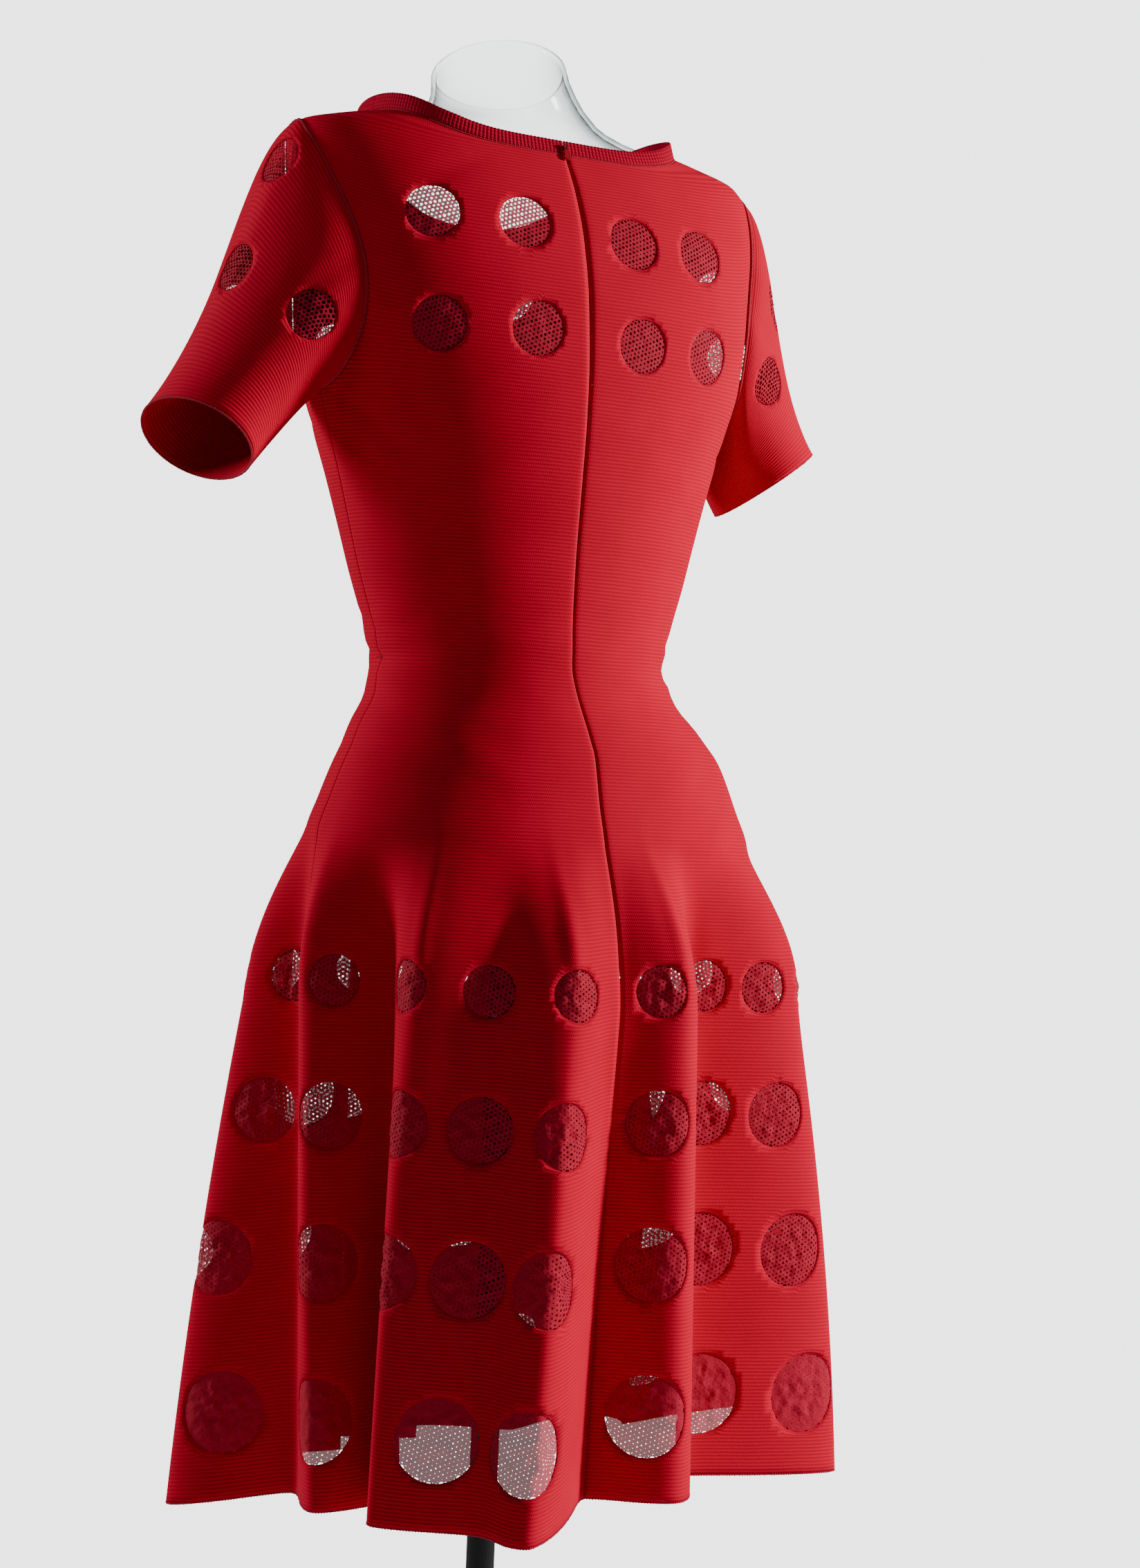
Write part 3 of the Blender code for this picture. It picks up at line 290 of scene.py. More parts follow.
# height, half_width, back, front, side_y, squareness
SECTIONS = np.array([
    (0.860, 0.1570, 0.119, 0.106, 0.006, 2.10), (0.905, 0.1585, 0.119, 0.106, 0.006, 2.10),
    (0.928, 0.1560, 0.114, 0.104, 0.006, 2.10), (0.950, 0.1480, 0.106, 0.099, 0.005, 2.10),
    (0.978, 0.1365, 0.098, 0.093, 0.004, 2.10), (1.000, 0.1235, 0.091, 0.088, 0.002, 2.10),
    (1.021, 0.1085, 0.085, 0.083, 0.001, 2.10), (1.040, 0.1025, 0.082, 0.080, 0.000, 2.10),
    (1.060, 0.1055, 0.082, 0.081, 0.000, 2.10), (1.105, 0.1185, 0.085, 0.088, 0.000, 2.10),
    (1.161, 0.1325, 0.093, 0.103, 0.000, 2.15), (1.205, 0.1450, 0.099, 0.114, 0.000, 2.20),
    (1.240, 0.1555, 0.101, 0.110, 0.000, 2.30), (1.280, 0.1635, 0.099, 0.098, 0.000, 2.40),
    (1.320, 0.1675, 0.091, 0.087, 0.000, 2.40), (1.350, 0.1690, 0.079, 0.079, -0.001, 2.35),
    (1.372, 0.1680, 0.066, 0.074, -0.003, 2.30), (1.384, 0.1620, 0.058, 0.072, -0.005, 2.20),
    (1.392, 0.1380, 0.053, 0.071, -0.008, 2.10), (1.399, 0.1060, 0.049, 0.071, -0.011, 2.05),
    (1.405, 0.0800, 0.045, 0.072, -0.015, 2.00), (1.412, 0.0650, 0.040, 0.074, -0.020, 2.00),
    (1.426, 0.0555, 0.029, 0.079, -0.028, 2.00), (1.445, 0.0515, 0.014, 0.089, -0.039, 2.00),
    (1.470, 0.0500, 0.002, 0.099, -0.049, 2.00),
])

# place round the hip, middle radius, hem angle, hem radius, hem height; ridge and valley by turns
FOLDS = np.array([
    (8, 0.178, 22, 0.190, 0.497), (29, 0.138, 31, 0.132, 0.500), (49, 0.164, 37, 0.196, 0.496),
    (67, 0.147, 57, 0.172, 0.491), (81, 0.153, 67, 0.188, 0.487), (90, 0.133, 91, 0.108, 0.503),
    (100, 0.150, 112, 0.148, 0.503), (114, 0.116, 140, 0.116, 0.507), (142, 0.184, 165, 0.230, 0.503),
    (164, 0.160, 174, 0.178, 0.520), (181, 0.184, 184, 0.262, 0.536), (199, 0.152, 205, 0.140, 0.520),
    (219, 0.172, 226, 0.222, 0.508), (237, 0.128, 243, 0.122, 0.510), (255, 0.148, 261, 0.198, 0.500),
    (271, 0.120, 277, 0.118, 0.506), (287, 0.149, 293, 0.200, 0.498), (304, 0.130, 309, 0.126, 0.504),
    (320, 0.172, 323, 0.214, 0.495), (331, 0.158, 334, 0.156, 0.500), (341, 0.191, 347, 0.230, 0.483),
    (354, 0.160, 363, 0.160, 0.497),
])
print(len(SECTIONS), "sections and", len(FOLDS), "ridges and valleys")

# %% Reading a table smoothly
def curve_through(places, values):
    """A smooth curve through a table's rows that never overshoots them."""
    places = np.asarray(places, float)
    values = np.asarray(values, float)
    steps = np.diff(places)
    slopes = np.diff(values) / steps
    product = slopes[:-1] * slopes[1:]
    total = slopes[:-1] + slopes[1:]
    inner = np.where(product > 0, 2 * product / np.where(total == 0, 1, total), 0.0)
    tangents = np.concatenate(([slopes[0]], inner, [slopes[-1]]))

    def read(at):
        at = np.clip(at, places[0], places[-1])
        row = np.clip(np.searchsorted(places, at) - 1, 0, len(steps) - 1)
        x = (at - places[row]) / steps[row]
        rise = tangents[row] * x * (1 - x) ** 2 + tangents[row + 1] * x * x * (x - 1)
        return values[row] * (1 + 2 * x) * (1 - x) ** 2 + values[row + 1] * x * x * (3 - 2 * x) + steps[row] * rise

    return read


half_width, back_depth, front_depth, side_line, squareness = [
    curve_through(SECTIONS[:, 0], SECTIONS[:, column]) for column in range(1, 6)]
turns = np.vstack([FOLDS + (360 * turn, 0, 360 * turn, 0, 0) for turn in (-1, 0, 1)])
middle_radius, hem_angle, hem_radius, hem_height = [
    curve_through(turns[:, 0], turns[:, column]) for column in range(1, 5)]
print("waist half width", float(half_width(WAIST_Z)))

# %% The torso and the skirt as surfaces
def signed_power(value, power):
    return np.sign(value) * np.abs(value) ** power


def unit(vectors):
    return vectors / np.linalg.norm(vectors, axis=-1, keepdims=True)


def torso(around, height):
    """Points of the cloth over the body; around is in radians and a quarter turn at the centre back."""
    share = (height - WAIST_Z) / (NECK_POINT_Z - WAIST_Z)
    hip_share = np.clip((WAIST_Z - height) / (WAIST_Z - HIP_SHIFT_Z), 0, 1)
    shift = np.where(height >= WAIST_Z, SHOULDER_SHIFT * np.minimum(share, 1), HIP_SHIFT * hip_share)
    slope = np.where(height >= WAIST_Z, SHOULDER_SLOPE * share, 0.0)
    power = 2 / squareness(height)
    side_y = side_line(height)
    depth = np.where(np.sin(around) >= 0, back_depth(height) - side_y, front_depth(height) + side_y)
    x = half_width(height) * signed_power(np.cos(around), power)
    y = side_y + depth * signed_power(np.sin(around), power)
    return np.stack([shift + x, y, height + slope * x], axis=-1)


def skirt(around, share):
    """Points of the cloth below the hip; share is 0 at the hip and 1 at the hem."""
    degrees = np.degrees(around)
    hip = torso(around, np.full_like(around, HIP_Z))
    hip_x = hip[..., 0] - HIP_SHIFT
    hip_y = hip[..., 1] - SKIRT_Y
    hip_radius = np.hypot(hip_x, hip_y)
    start = np.arctan2(hip_y, hip_x)
    turn = (np.radians(hem_angle(degrees)) - start + math.pi) % (2 * math.pi) - math.pi
    middle = middle_radius(degrees)
    hem = hem_radius(degrees)
    x = np.clip(share / SKIRT_MIDDLE, 0, 1)
    eased = x ** FLUTE_SWELL * (1 + FLUTE_SWELL - FLUTE_SWELL * x)
    leave = FLUTE_LEAVE * (hem - middle) / (1 - SKIRT_MIDDLE) * SKIRT_MIDDLE
    upper = hip_radius + (middle - hip_radius) * eased + leave * x * x * (x - 1)
    x = np.clip((share - SKIRT_MIDDLE) / (1 - SKIRT_MIDDLE), 0, 1)
    lower = middle + (hem - middle) * (x + FLUTE_BOW * x * (1 - x))
    radius = np.where(share < SKIRT_MIDDLE, upper, lower)
    angle = start + turn * share
    height = HIP_Z + (hem_height(degrees) - HIP_Z) * share
    return np.stack([HIP_SHIFT + radius * np.cos(angle), SKIRT_Y + radius * np.sin(angle), height], axis=-1)


print("centre back at the waist", torso(np.array(math.pi / 2), np.array(WAIST_Z)).round(4))

# %% [markdown]
# ## Neckline and armholes
# The yoke is the part between armhole and neckline. Its rows start on the armhole or, higher up, on the
# shoulder seam, and end at the centre line. The same two edge curves later carry the sleeves and the neckband.

# %% Edges of the yoke
def neckline(turn):
    """Section angle and height of the neckline at a turn round the neck."""
    side = np.abs(np.cos(turn))
    behind = np.sin(turn) >= 0
    height = np.where(behind, NECK_BACK_Z + (NECK_POINT_Z - NECK_BACK_Z) * side ** NECK_BACK_ROUND,
                      NECK_FRONT_Z + (NECK_POINT_Z - NECK_FRONT_Z) * side ** NECK_FRONT_ROUND)
    ratio = np.minimum(half_width(NECK_POINT_Z) * side / half_width(height), 1)
    angle = np.arccos(ratio ** (squareness(height) / 2))
    angle = np.where(behind, angle, -angle)
    return np.where(np.cos(turn) < 0, math.pi - angle, angle), height


def armhole(height):
    """How far the armhole bites into the back and the front, as a section angle."""
    share = np.clip((height - UNDERARM_Z) / (SHOULDER_TIP_Z - UNDERARM_Z), 0, 1)
    return ARMHOLE_BITE * np.sin(math.pi * share ** ARMHOLE_LIFT).clip(0) ** ARMHOLE_ROUND


def yoke_place(quarter, inward, level):
    """Section angle and height in a quarter of the yoke: inward is 0 at its armhole and 1 at the centre line."""
    lower = UNDERARM_Z + (SHOULDER_TIP_Z - UNDERARM_Z) * level / YOKE_TIP
    upper = SHOULDER_TIP_Z + (NECK_POINT_Z - SHOULDER_TIP_Z) * (level - YOKE_TIP) / (1 - YOKE_TIP)
    edge = np.where(level <= YOKE_TIP, lower, upper)
    bite = armhole(edge)
    turn = math.pi / 2 * inward + bite * (1 - inward) ** BITE_FADE
    neck_angle, neck_height = neckline(turn if quarter < 2 else -turn)
    neck_angle = np.abs(neck_angle)
    neck_centre = NECK_BACK_Z if quarter < 2 else NECK_FRONT_Z
    centre = UNDERARM_Z + (neck_centre - UNDERARM_Z) * level
    drift = 1 - (1 - inward) ** 2
    blend = level ** NECK_BLEND
    height = edge + (centre - edge) * drift
    height = height + (neck_height - (NECK_POINT_Z + (centre - NECK_POINT_Z) * drift)) * blend
    angle = turn + (neck_angle - turn) * blend
    signed = (angle, math.pi - angle, math.pi + angle, 2 * math.pi - angle)[quarter]
    return signed, height


print("armhole bites", round(math.degrees(float(armhole(1.29)))), "degrees")

# %% [markdown]
# ## A sheet of cloth as a grid
# Each panel is one grid of points from hem to neckline. With the grid come its normals and a way to read any
# place between the points, which is all that seams, creases, dots and net need. The creases are listed one by one:
# soft troughs and ridges where the real cloth is pinched at the waist, under the arms and where the zip ends.

# %% Creases, listed one by one
# degrees round the body, height in metres; half length, half width and depth in mm, a ridge positive; slant
CREASES = [
    (14, 1.047, 42, 4.0, -2.2, 8), (10, 1.031, 36, 4.5, 1.6, 2), (22, 1.064, 30, 4.0, -1.2, 14),
    (166, 1.044, 30, 4.0, -2.6, -6), (170, 1.034, 24, 4.5, 2.6, 4), (160, 1.060, 32, 4.5, -1.2, -16),
    (348, 1.046, 40, 4.5, -2.0, -10), (195, 1.046, 38, 4.5, -2.0, 10), (350, 1.066, 34, 5.0, -1.2, -16),
    (192, 1.068, 30, 5.0, -1.2, 16), (20, 1.196, 34, 5.0, -1.6, -38), (26, 1.175, 30, 6.0, 1.1, -44),
    (160, 1.196, 34, 5.0, -1.5, 38), (340, 1.200, 36, 5.5, -1.5, 36), (200, 1.200, 36, 5.5, -1.5, -36),
    (60, 1.020, 60, 9.0, -0.9, 4), (120, 1.022, 55, 8.0, -0.9, -5), (75, 1.056, 46, 8.0, 0.7, -3),
    (105, 1.004, 40, 8.0, 0.6, 6), (52, 0.985, 50, 8.0, 0.7, -30), (128, 0.985, 46, 8.0, 0.7, 32),
    (250, 1.030, 60, 8.0, -0.9, -5), (290, 1.028, 60, 8.0, -0.9, 6), (233, 1.175, 34, 7.0, -1.0, -30),
    (307, 1.175, 34, 7.0, -1.0, 30), (86.5, 0.8420, 16, 1.4, -0.9, 0), (114, 0.846, 13, 3.0, 2.0, -18),
    (117, 0.838, 12, 3.0, -2.2, -22), (49, 0.862, 42, 6.0, 2.2, 90), (81, 0.868, 40, 5.5, 2.0, 92),
    (100, 0.866, 40, 5.0, 2.2, 88), (142, 0.858, 46, 7.0, 2.4, 88), (8, 0.862, 46, 7.0, 2.2, 90),
    (68, 0.848, 34, 9.0, -2.6, 90), (90.5, 0.850, 30, 5.5, -1.6, 90), (116, 0.844, 36, 9.0, -2.8, 90),
    (30, 0.850, 34, 9.0, -2.2, 90), (219, 0.862, 42, 7.0, 2.2, 90), (255, 0.866, 40, 6.0, 2.0, 88),
    (287, 0.864, 40, 6.0, 2.0, 92), (320, 0.862, 42, 7.0, 2.2, 90), (237, 0.850, 34, 9.0, -2.2, 90),
    (271, 0.852, 32, 8.0, -2.0, 90), (304, 0.850, 34, 9.0, -2.2, 90),
    (60, 1.352, 30, 7.0, -0.8, 24), (120, 1.350, 30, 7.0, -0.8, -26),
]
CREASE_REACH = 0.06
print(len(CREASES), "creases")

# %% A grid of cloth
RING_ROUNDS = 9


def distances(line):
    """Distance of each point of a line from its first."""
    return np.concatenate([[0], np.cumsum(np.linalg.norm(np.diff(line, axis=0), axis=1))])


class Cloth:
    """A grid of points on the cloth's outer face, rows upwards and columns round the body."""

    def __init__(self, points, closed=False):
        self.points = points
        self.closed = closed
        self.centre_column = 0
        self.rows, self.columns = points.shape[:2]
        self.normals = self.find_normals()
        self.dots = []

    def find_normals(self):
        across = np.gradient(self.points, axis=1)
        if self.closed:
            across[:, 0] = across[:, -1] = self.points[:, 1] - self.points[:, -2]
        normals = np.cross(across, np.gradient(self.points, axis=0))
        return normals / np.linalg.norm(normals, axis=-1, keepdims=True).clip(1e-12)

    def push(self, amount):
        """Moves every point along its normal, in metres."""
        self.points = self.points + self.normals * amount[..., None]
        self.normals = self.find_normals()

    def read(self, grid, places):
        """The grid's value at any rows and columns, by straight shares of the four points round each."""
        row = np.clip(places[..., 0], 0, self.rows - 1.001)
        column = np.clip(places[..., 1], 0, self.columns - 1.001)
        low = np.floor(row).astype(int)
        left = np.floor(column).astype(int)
        up = (row - low)[..., None]
        on = (column - left)[..., None]
        below = grid[low, left] * (1 - on) + grid[low, left + 1] * on
        above = grid[low + 1, left] * (1 - on) + grid[low + 1, left + 1] * on
        return below * (1 - up) + above * up

    def nearest(self, target):
        """Row and column of the grid that lie nearest a point, between the points too."""
        far = ((self.points - target) ** 2).sum(-1)
        row, column = np.unravel_index(np.argmin(far), far.shape)
        row = min(max(row, 1), self.rows - 2)
        column = min(max(column, 1), self.columns - 2)
        across = (self.points[row, column + 1] - self.points[row, column - 1]) / 2
        upward = (self.points[row + 1, column] - self.points[row - 1, column]) / 2
        sides = np.stack([across, upward], axis=1)
        step, *_ = np.linalg.lstsq(sides, target - self.points[row, column], rcond=None)
        step = np.clip(step, -1, 1)
        return np.array([row + step[1], column + step[0]])

    def ring(self, centre, directions, reach):
        """Grid places at given distances from a centre, along given directions across the cloth."""
        middle = self.read(self.points, centre)
        far = np.ones(len(directions))
        for _ in range(RING_ROUNDS):
            places = centre + directions * far[:, None]
            length = np.linalg.norm(self.read(self.points, places) - middle, axis=-1)
            far = far * np.clip(reach / np.maximum(length, 1e-7), 0.5, 2.0)
        return centre + directions * far[:, None]


def crease(cloth, centre, across, upward, outward, half_length, half_width_mm, depth, slant):
    """How far one crease pushes each point of a cloth."""
    lean = math.radians(slant)
    along = across * math.cos(lean) + upward * math.sin(lean)
    over = upward * math.cos(lean) - across * math.sin(lean)
    away = cloth.points - centre
    length = away @ along / (half_length * MM)
    width = away @ over / (half_width_mm * MM)
    same_side = np.clip(cloth.normals @ outward * 2, 0, 1)
    return depth * MM * np.exp(-length ** 2 - width ** 2) * same_side


def body_point(degrees, height):
    """The point of the dress at a place round it and a height."""
    if height >= HIP_Z:
        return torso(np.radians(degrees), np.array(height))
    return skirt(np.array(math.radians(degrees)), np.array((HIP_Z - height) / (HIP_Z - HEM_MIDDLE_Z)))


def crease_field(cloth):
    """How far all the listed creases push each point of a panel."""
    amount = np.zeros(cloth.points.shape[:2])
    upward = np.array([0.0, 0.0, 1.0])
    for around, height, *shape in CREASES:
        centre = body_point(around, height)
        across = unit(body_point(around + 1, height) - centre)
        outward = np.cross(across, upward)
        near = np.abs((cloth.points - centre) @ outward) < CREASE_REACH
        amount += crease(cloth, centre, across, upward, outward, *shape) * near
    return amount


print("cloth grid ready")

# %% [markdown]
# ## The three panels
# A knitted panel is one piece from hem to neckline, with no waist seam. Columns of the grid follow the folds
# and rows follow the courses of the knit. Along each seam the cloth dips a little, as it does where two edges
# are turned in, and beside the zip it dips more.

# %% Panel grids
SKIRT_ROWS = 84
TORSO_ROWS = 50
YOKE_ROWS = 60
YOKE_EASE = 0.75
COLUMNS_IN_QUARTER = 116
CLOTH_MM = 1.1
SIDE_GAP_MM = 0.02
ZIP_GAP_MM = 0.45
SIDE_DIP_MM = 0.35
ZIP_DIP_MM = 0.8
DIP_WIDTH_MM = 1.7
SEAM_REACH_MM = 3.0


def panel_points(start, end, quarters):
    """Grid of a panel between two places round the hip in degrees."""
    count = COLUMNS_IN_QUARTER * len(quarters)
    around = np.radians(np.linspace(start, end, count + 1))
    shares = np.linspace(1, 0, SKIRT_ROWS, endpoint=False)
    heights = np.linspace(HIP_Z, UNDERARM_Z, TORSO_ROWS, endpoint=False)
    levels = np.linspace(0, 1, YOKE_ROWS + 1)
    levels -= np.sin(2 * math.pi * levels) / (2 * math.pi) * YOKE_EASE
    inward = np.linspace(0, 1, COLUMNS_IN_QUARTER + 1)
    blocks = [skirt(*np.meshgrid(around, shares)), torso(*np.meshgrid(around, heights))]
    yoke_blocks = []
    for index, quarter in enumerate(quarters):
        order = inward if quarter in (0, 2) else inward[::-1]
        block = torso(*yoke_place(quarter, *np.meshgrid(order, levels)))
        yoke_blocks.append(block if index == 0 else block[:, 1:])
    blocks.append(np.concatenate(yoke_blocks, axis=1))
    return np.concatenate(blocks, axis=0)


def along_rows(points):
    """Distance of each point from the first column, along its row."""
    steps = np.linalg.norm(np.diff(points, axis=1), axis=-1)
    return np.concatenate([np.zeros((len(points), 1)), np.cumsum(steps, axis=1)], axis=1)


def make_panel(start, end, quarters, zip_edges, centre_column):
    """A panel with its creases and its turned-in edges."""
    cloth = Cloth(panel_points(start, end, quarters))
    cloth.centre_column = centre_column
    cloth.push(crease_field(cloth))
    reach = along_rows(cloth.points)
    dip = np.zeros(reach.shape)
    for edge, distance in ((0, reach), (-1, reach[:, -1:] - reach)):
        depth = ZIP_DIP_MM if edge in zip_edges else SIDE_DIP_MM
        dip -= depth * MM * np.exp(-(distance / (DIP_WIDTH_MM * MM)) ** 2)
    cloth.push(dip)
    return cloth


def meet(first, second, zipped):
    """Lets the last column of one panel and the first of the next meet along their seam."""
    ends = first.points[:, -1]
    starts = second.points[:, 0]
    middle = (ends + starts) / 2
    joined = np.linalg.norm(ends - starts, axis=1) < SEAM_REACH_MM * MM
    gap = np.where(zipped & (middle[:, 2] > ZIP_END_Z), ZIP_GAP_MM, SIDE_GAP_MM)[:, None] * MM
    for cloth, edge, inner in ((first, -1, -2), (second, 0, 1)):
        inwards = unit(cloth.points[:, inner] - middle)
        cloth.points[joined, edge] = (middle + inwards * gap)[joined]
        cloth.normals = cloth.find_normals()


front = make_panel(180, 360, (2, 3), (), COLUMNS_IN_QUARTER)
back_left = make_panel(0, 90, (0,), (-1,), COLUMNS_IN_QUARTER)
back_right = make_panel(90, 180, (1,), (0,), 0)
meet(back_left, back_right, True)
meet(back_right, front, False)
meet(front, back_left, False)
panels = {"front": front, "back_left": back_left, "back_right": back_right}
for word, cloth in panels.items():
    print(word, cloth.rows, "rows of", cloth.columns)

# %% [markdown]
# ## The sleeves
# A short sleeve is set into the armhole and hangs open. It is a surface of smooth lines: each one leaves the
# armhole sideways and reaches the cuff along the arm. The armhole curve is the edge of the yoke, so both fit.

# %% Sleeve grids
SLEEVE_COLUMNS = 150
SLEEVE_ROWS = 44
SEAM_GAP_MM = 0.36
SLEEVE_RIDGE_MM = 0.6
SLEEVE_LEAVE = 0.42
SLEEVE_ARRIVE = 1.15
SLEEVE_SPREAD = 0.8
SLEEVE_DROP = 0.5
CUFF_HALF_ACROSS = 0.0370
CUFF_HALF_DEEP = 0.051
CUFF_BACK_RISE = 0.009
# side, cuff centre x, y, z, tilt in degrees
CUFFS = {"left": (1, 0.2360, -0.004, 1.178, 38), "right": (-1, -0.1990, -0.020, 1.180, 36)}


def torso_normal(around, height):
    """Outward normals of the torso by small differences."""
    step = 1e-4
    across = torso(around + step, height) - torso(around - step, height)
    upward = torso(around, height + step) - torso(around, height - step)
    return unit(np.cross(across, upward))


def even_steps(line, count, *others):
    """Points at even distances along a line, and other values read at the same places."""
    length = distances(line)
    at = np.linspace(0, length[-1], count + 1)
    return [np.stack([np.interp(at, length, value[:, i]) for i in range(3)], axis=1)
            for value in (line, *others)]


def armhole_line(side):
    """The closed armhole from the underarm up the back and down the front, with normals."""
    levels = np.linspace(0, YOKE_TIP, 260)
    back = yoke_place(0 if side > 0 else 1, np.zeros_like(levels), levels)
    front_edge = yoke_place(3 if side > 0 else 2, np.zeros_like(levels), levels)
    around = np.concatenate([back[0], front_edge[0][::-1]])
    height = np.concatenate([back[1], front_edge[1][::-1]])
    return even_steps(torso(around, height), SLEEVE_COLUMNS, torso_normal(around, height))


def make_sleeve(side, x, y, z, tilt_degrees):
    """A sleeve grid from armhole to cuff."""
    line, normal = armhole_line(side)
    normal = unit(normal)
    centre = line.mean(axis=0)
    along = np.roll(line[:-1], -1, axis=0) - np.roll(line[:-1], 1, axis=0)
    along = np.vstack([along, along[:1]])
    inwards = unit(np.cross(along, normal))
    inwards *= np.sign(((centre - line) * inwards).sum(1, keepdims=True))
    head = line + inwards * SEAM_GAP_MM * MM
    tilt = math.radians(tilt_degrees)
    across = np.array([side * math.cos(tilt), 0, math.sin(tilt)])
    axis = np.array([side * math.sin(tilt), 0, -math.cos(tilt)])
    angle = np.arctan2(head[:, 1] - centre[1], head[:, 2] - centre[2])
    cuff = (np.array([x, y, z]) + across * (CUFF_HALF_ACROSS * np.cos(angle))[:, None]
            + np.array([0, CUFF_HALF_DEEP, 0]) * np.sin(angle)[:, None]
            - axis * (CUFF_BACK_RISE * np.sin(angle))[:, None])
    start = head + normal * SLEEVE_RIDGE_MM * MM
    reach = np.linalg.norm(cuff - start, axis=1, keepdims=True)
    outward = np.stack([np.full(len(head), side), normal[:, 1] * SLEEVE_SPREAD,
                        np.full(len(head), -SLEEVE_DROP)], axis=1)
    leave = unit(outward) * reach * SLEEVE_LEAVE
    arrive = axis * reach * SLEEVE_ARRIVE
    share = np.linspace(0, 1, SLEEVE_ROWS)[:, None, None]
    rest = 1 - share
    points = (start * (1 + 2 * share) * rest ** 2 + cuff * share ** 2 * (3 - 2 * share)
              + leave * share * rest ** 2 - arrive * share ** 2 * rest)
    points = points if side < 0 else points[:, ::-1]
    return Cloth(points[::-1], closed=True), np.vstack([head[:-1], head[:1]]), normal


sleeves = {}
armholes = {}
for word, cuff_row in CUFFS.items():
    sleeve, *armholes[word] = make_sleeve(*cuff_row)
    sleeves[word] = sleeve
    middle = sleeve.points.mean(axis=1, keepdims=True)
    facing_out = ((sleeve.points - middle) * sleeve.normals).sum(-1).mean() > 0
    print(word, "sleeve faces outwards:", bool(facing_out))

# %% Soft folds of the sleeves
# sleeve, share of the length from the cuff, turns round it; half length, half width and depth in mm; slant
SLEEVE_FOLDS = [
    ("left", 0.42, 0.30, 40, 7, 1.4, 62), ("left", 0.50, 0.20, 36, 6, -1.6, 58),
    ("left", 0.72, 0.12, 22, 5, -1.6, 30), ("left", 0.30, 0.42, 44, 8, -1.0, 78),
    ("left", 0.60, 0.72, 36, 8, -1.2, 66), ("left", 0.45, 0.90, 30, 7, 1.2, 60),
    ("right", 0.42, 0.70, 40, 7, 1.4, -62), ("right", 0.50, 0.80, 36, 6, -1.6, -58),
    ("right", 0.72, 0.88, 22, 5, -1.6, -30), ("right", 0.30, 0.58, 44, 8, -1.0, -78),
    ("right", 0.60, 0.28, 36, 8, -1.2, -66), ("right", 0.45, 0.10, 30, 7, 1.2, -60),
]
CALM_EDGE_ROWS = 6


def fold_sleeve(word, sleeve):
    """Presses the sleeve's own folds into its grid; they fade out near its two edges."""
    amount = np.zeros(sleeve.points.shape[:2])
    from_cuff = np.arange(sleeve.rows)
    calm = np.clip(np.minimum(from_cuff, from_cuff[::-1]) / CALM_EDGE_ROWS, 0, 1)[:, None]
    for which, up, turn, *shape in SLEEVE_FOLDS:
        if which == word:
            row = int(up * (sleeve.rows - 1))
            column = int(turn * (sleeve.columns - 1))
            centre = sleeve.points[row, column]
            upward = unit(sleeve.points[min(row + 2, sleeve.rows - 1), column] - centre)
            outward = sleeve.normals[row, column]
            amount += crease(sleeve, centre, np.cross(upward, outward), upward, outward, *shape) * calm
    sleeve.push(amount)


for word, sleeve in sleeves.items():
    fold_sleeve(word, sleeve)
cloths = {**panels, **{"sleeve_" + word: sleeve for word, sleeve in sleeves.items()}}
print(len(SLEEVE_FOLDS), "sleeve folds")

# %% [markdown]
# ## The dots
# The dots stand in rows: two over the shoulder blades and chest, four round the skirt, growing towards the hem
# as the flutes widen, and a few on each sleeve. Their places on the back follow the photo. Those on the front
# are a guess: they keep a usual distance and stay out of the lines of sight through the back ones.

# %% Rows of dots
# degrees round the body, height on the back, height on the front, whose neckline lies lower
BODICE_DOTS = [(56, 1.326, 1.305), (79, 1.326, 1.305), (99.5, 1.322, 1.305), (119.5, 1.322, 1.305),
               (54, 1.254, 1.250), (79.5, 1.257, 1.250), (101.5, 1.254, 1.250), (124, 1.254, 1.250)]
BODICE_DOT_MM = 36
SLEEVE_DOT_MM = 33
# how far the eyelets open, as a share of the net's own size
BODICE_OPENNESS = 0.70
SKIRT_OPENNESS = 0.6
HEM_OPENNESS = 0.25
HEM_ROW_SHARE = 0.8
BODICE_CRINKLE_MM = 0.5
SKIRT_CRINKLE_MM = 1.4
SLEEVE_CRINKLE_MM = 0.9
# share of the skirt's length, dot across in mm, then places round the body in degrees
SKIRT_DOT_ROWS = [
    (0.225, 34, (16, 45, 64.5, 82.5, 95.8, 120, 131, 146, 171.5,
                 196, 223.5, 245, 265.5, 283, 301, 318, 336.5, 351.5)),
    (0.425, 43, (15, 46.5, 64, 82, 96, 119.5, 131.5, 165,
                 187.5, 206.5, 225.5, 245, 265.5, 285.5, 311.5, 332, 348)),
    (0.640, 49, (13, 45, 63, 81, 96, 119.5, 132.5, 167.5,
                 187, 202.5, 221.5, 235.5, 255.5, 271.5, 291.5, 313, 333.5, 344.5)),
    (0.870, 54, (10, 59.5, 79.5, 96, 120, 133.5, 168.5,
                 187, 200, 219, 238, 257.5, 275.5, 294, 315, 333.5, 346.5)),
]
# sleeve, then a point near the dot's middle
SLEEVE_DOTS = [
    ("left", 0.1907, 0.0085, 1.3610), ("left", 0.2184, 0.0068, 1.2894), ("left", 0.1844, 0.0547, 1.2580),
    ("left", 0.1950, -0.0560, 1.2700), ("left", 0.1850, -0.0380, 1.3350),
    ("right", -0.1620, 0.0450, 1.2450), ("right", -0.1720, 0.0330, 1.2980),
    ("right", -0.1750, -0.0400, 1.2650), ("right", -0.1680, -0.0420, 1.3120),
]


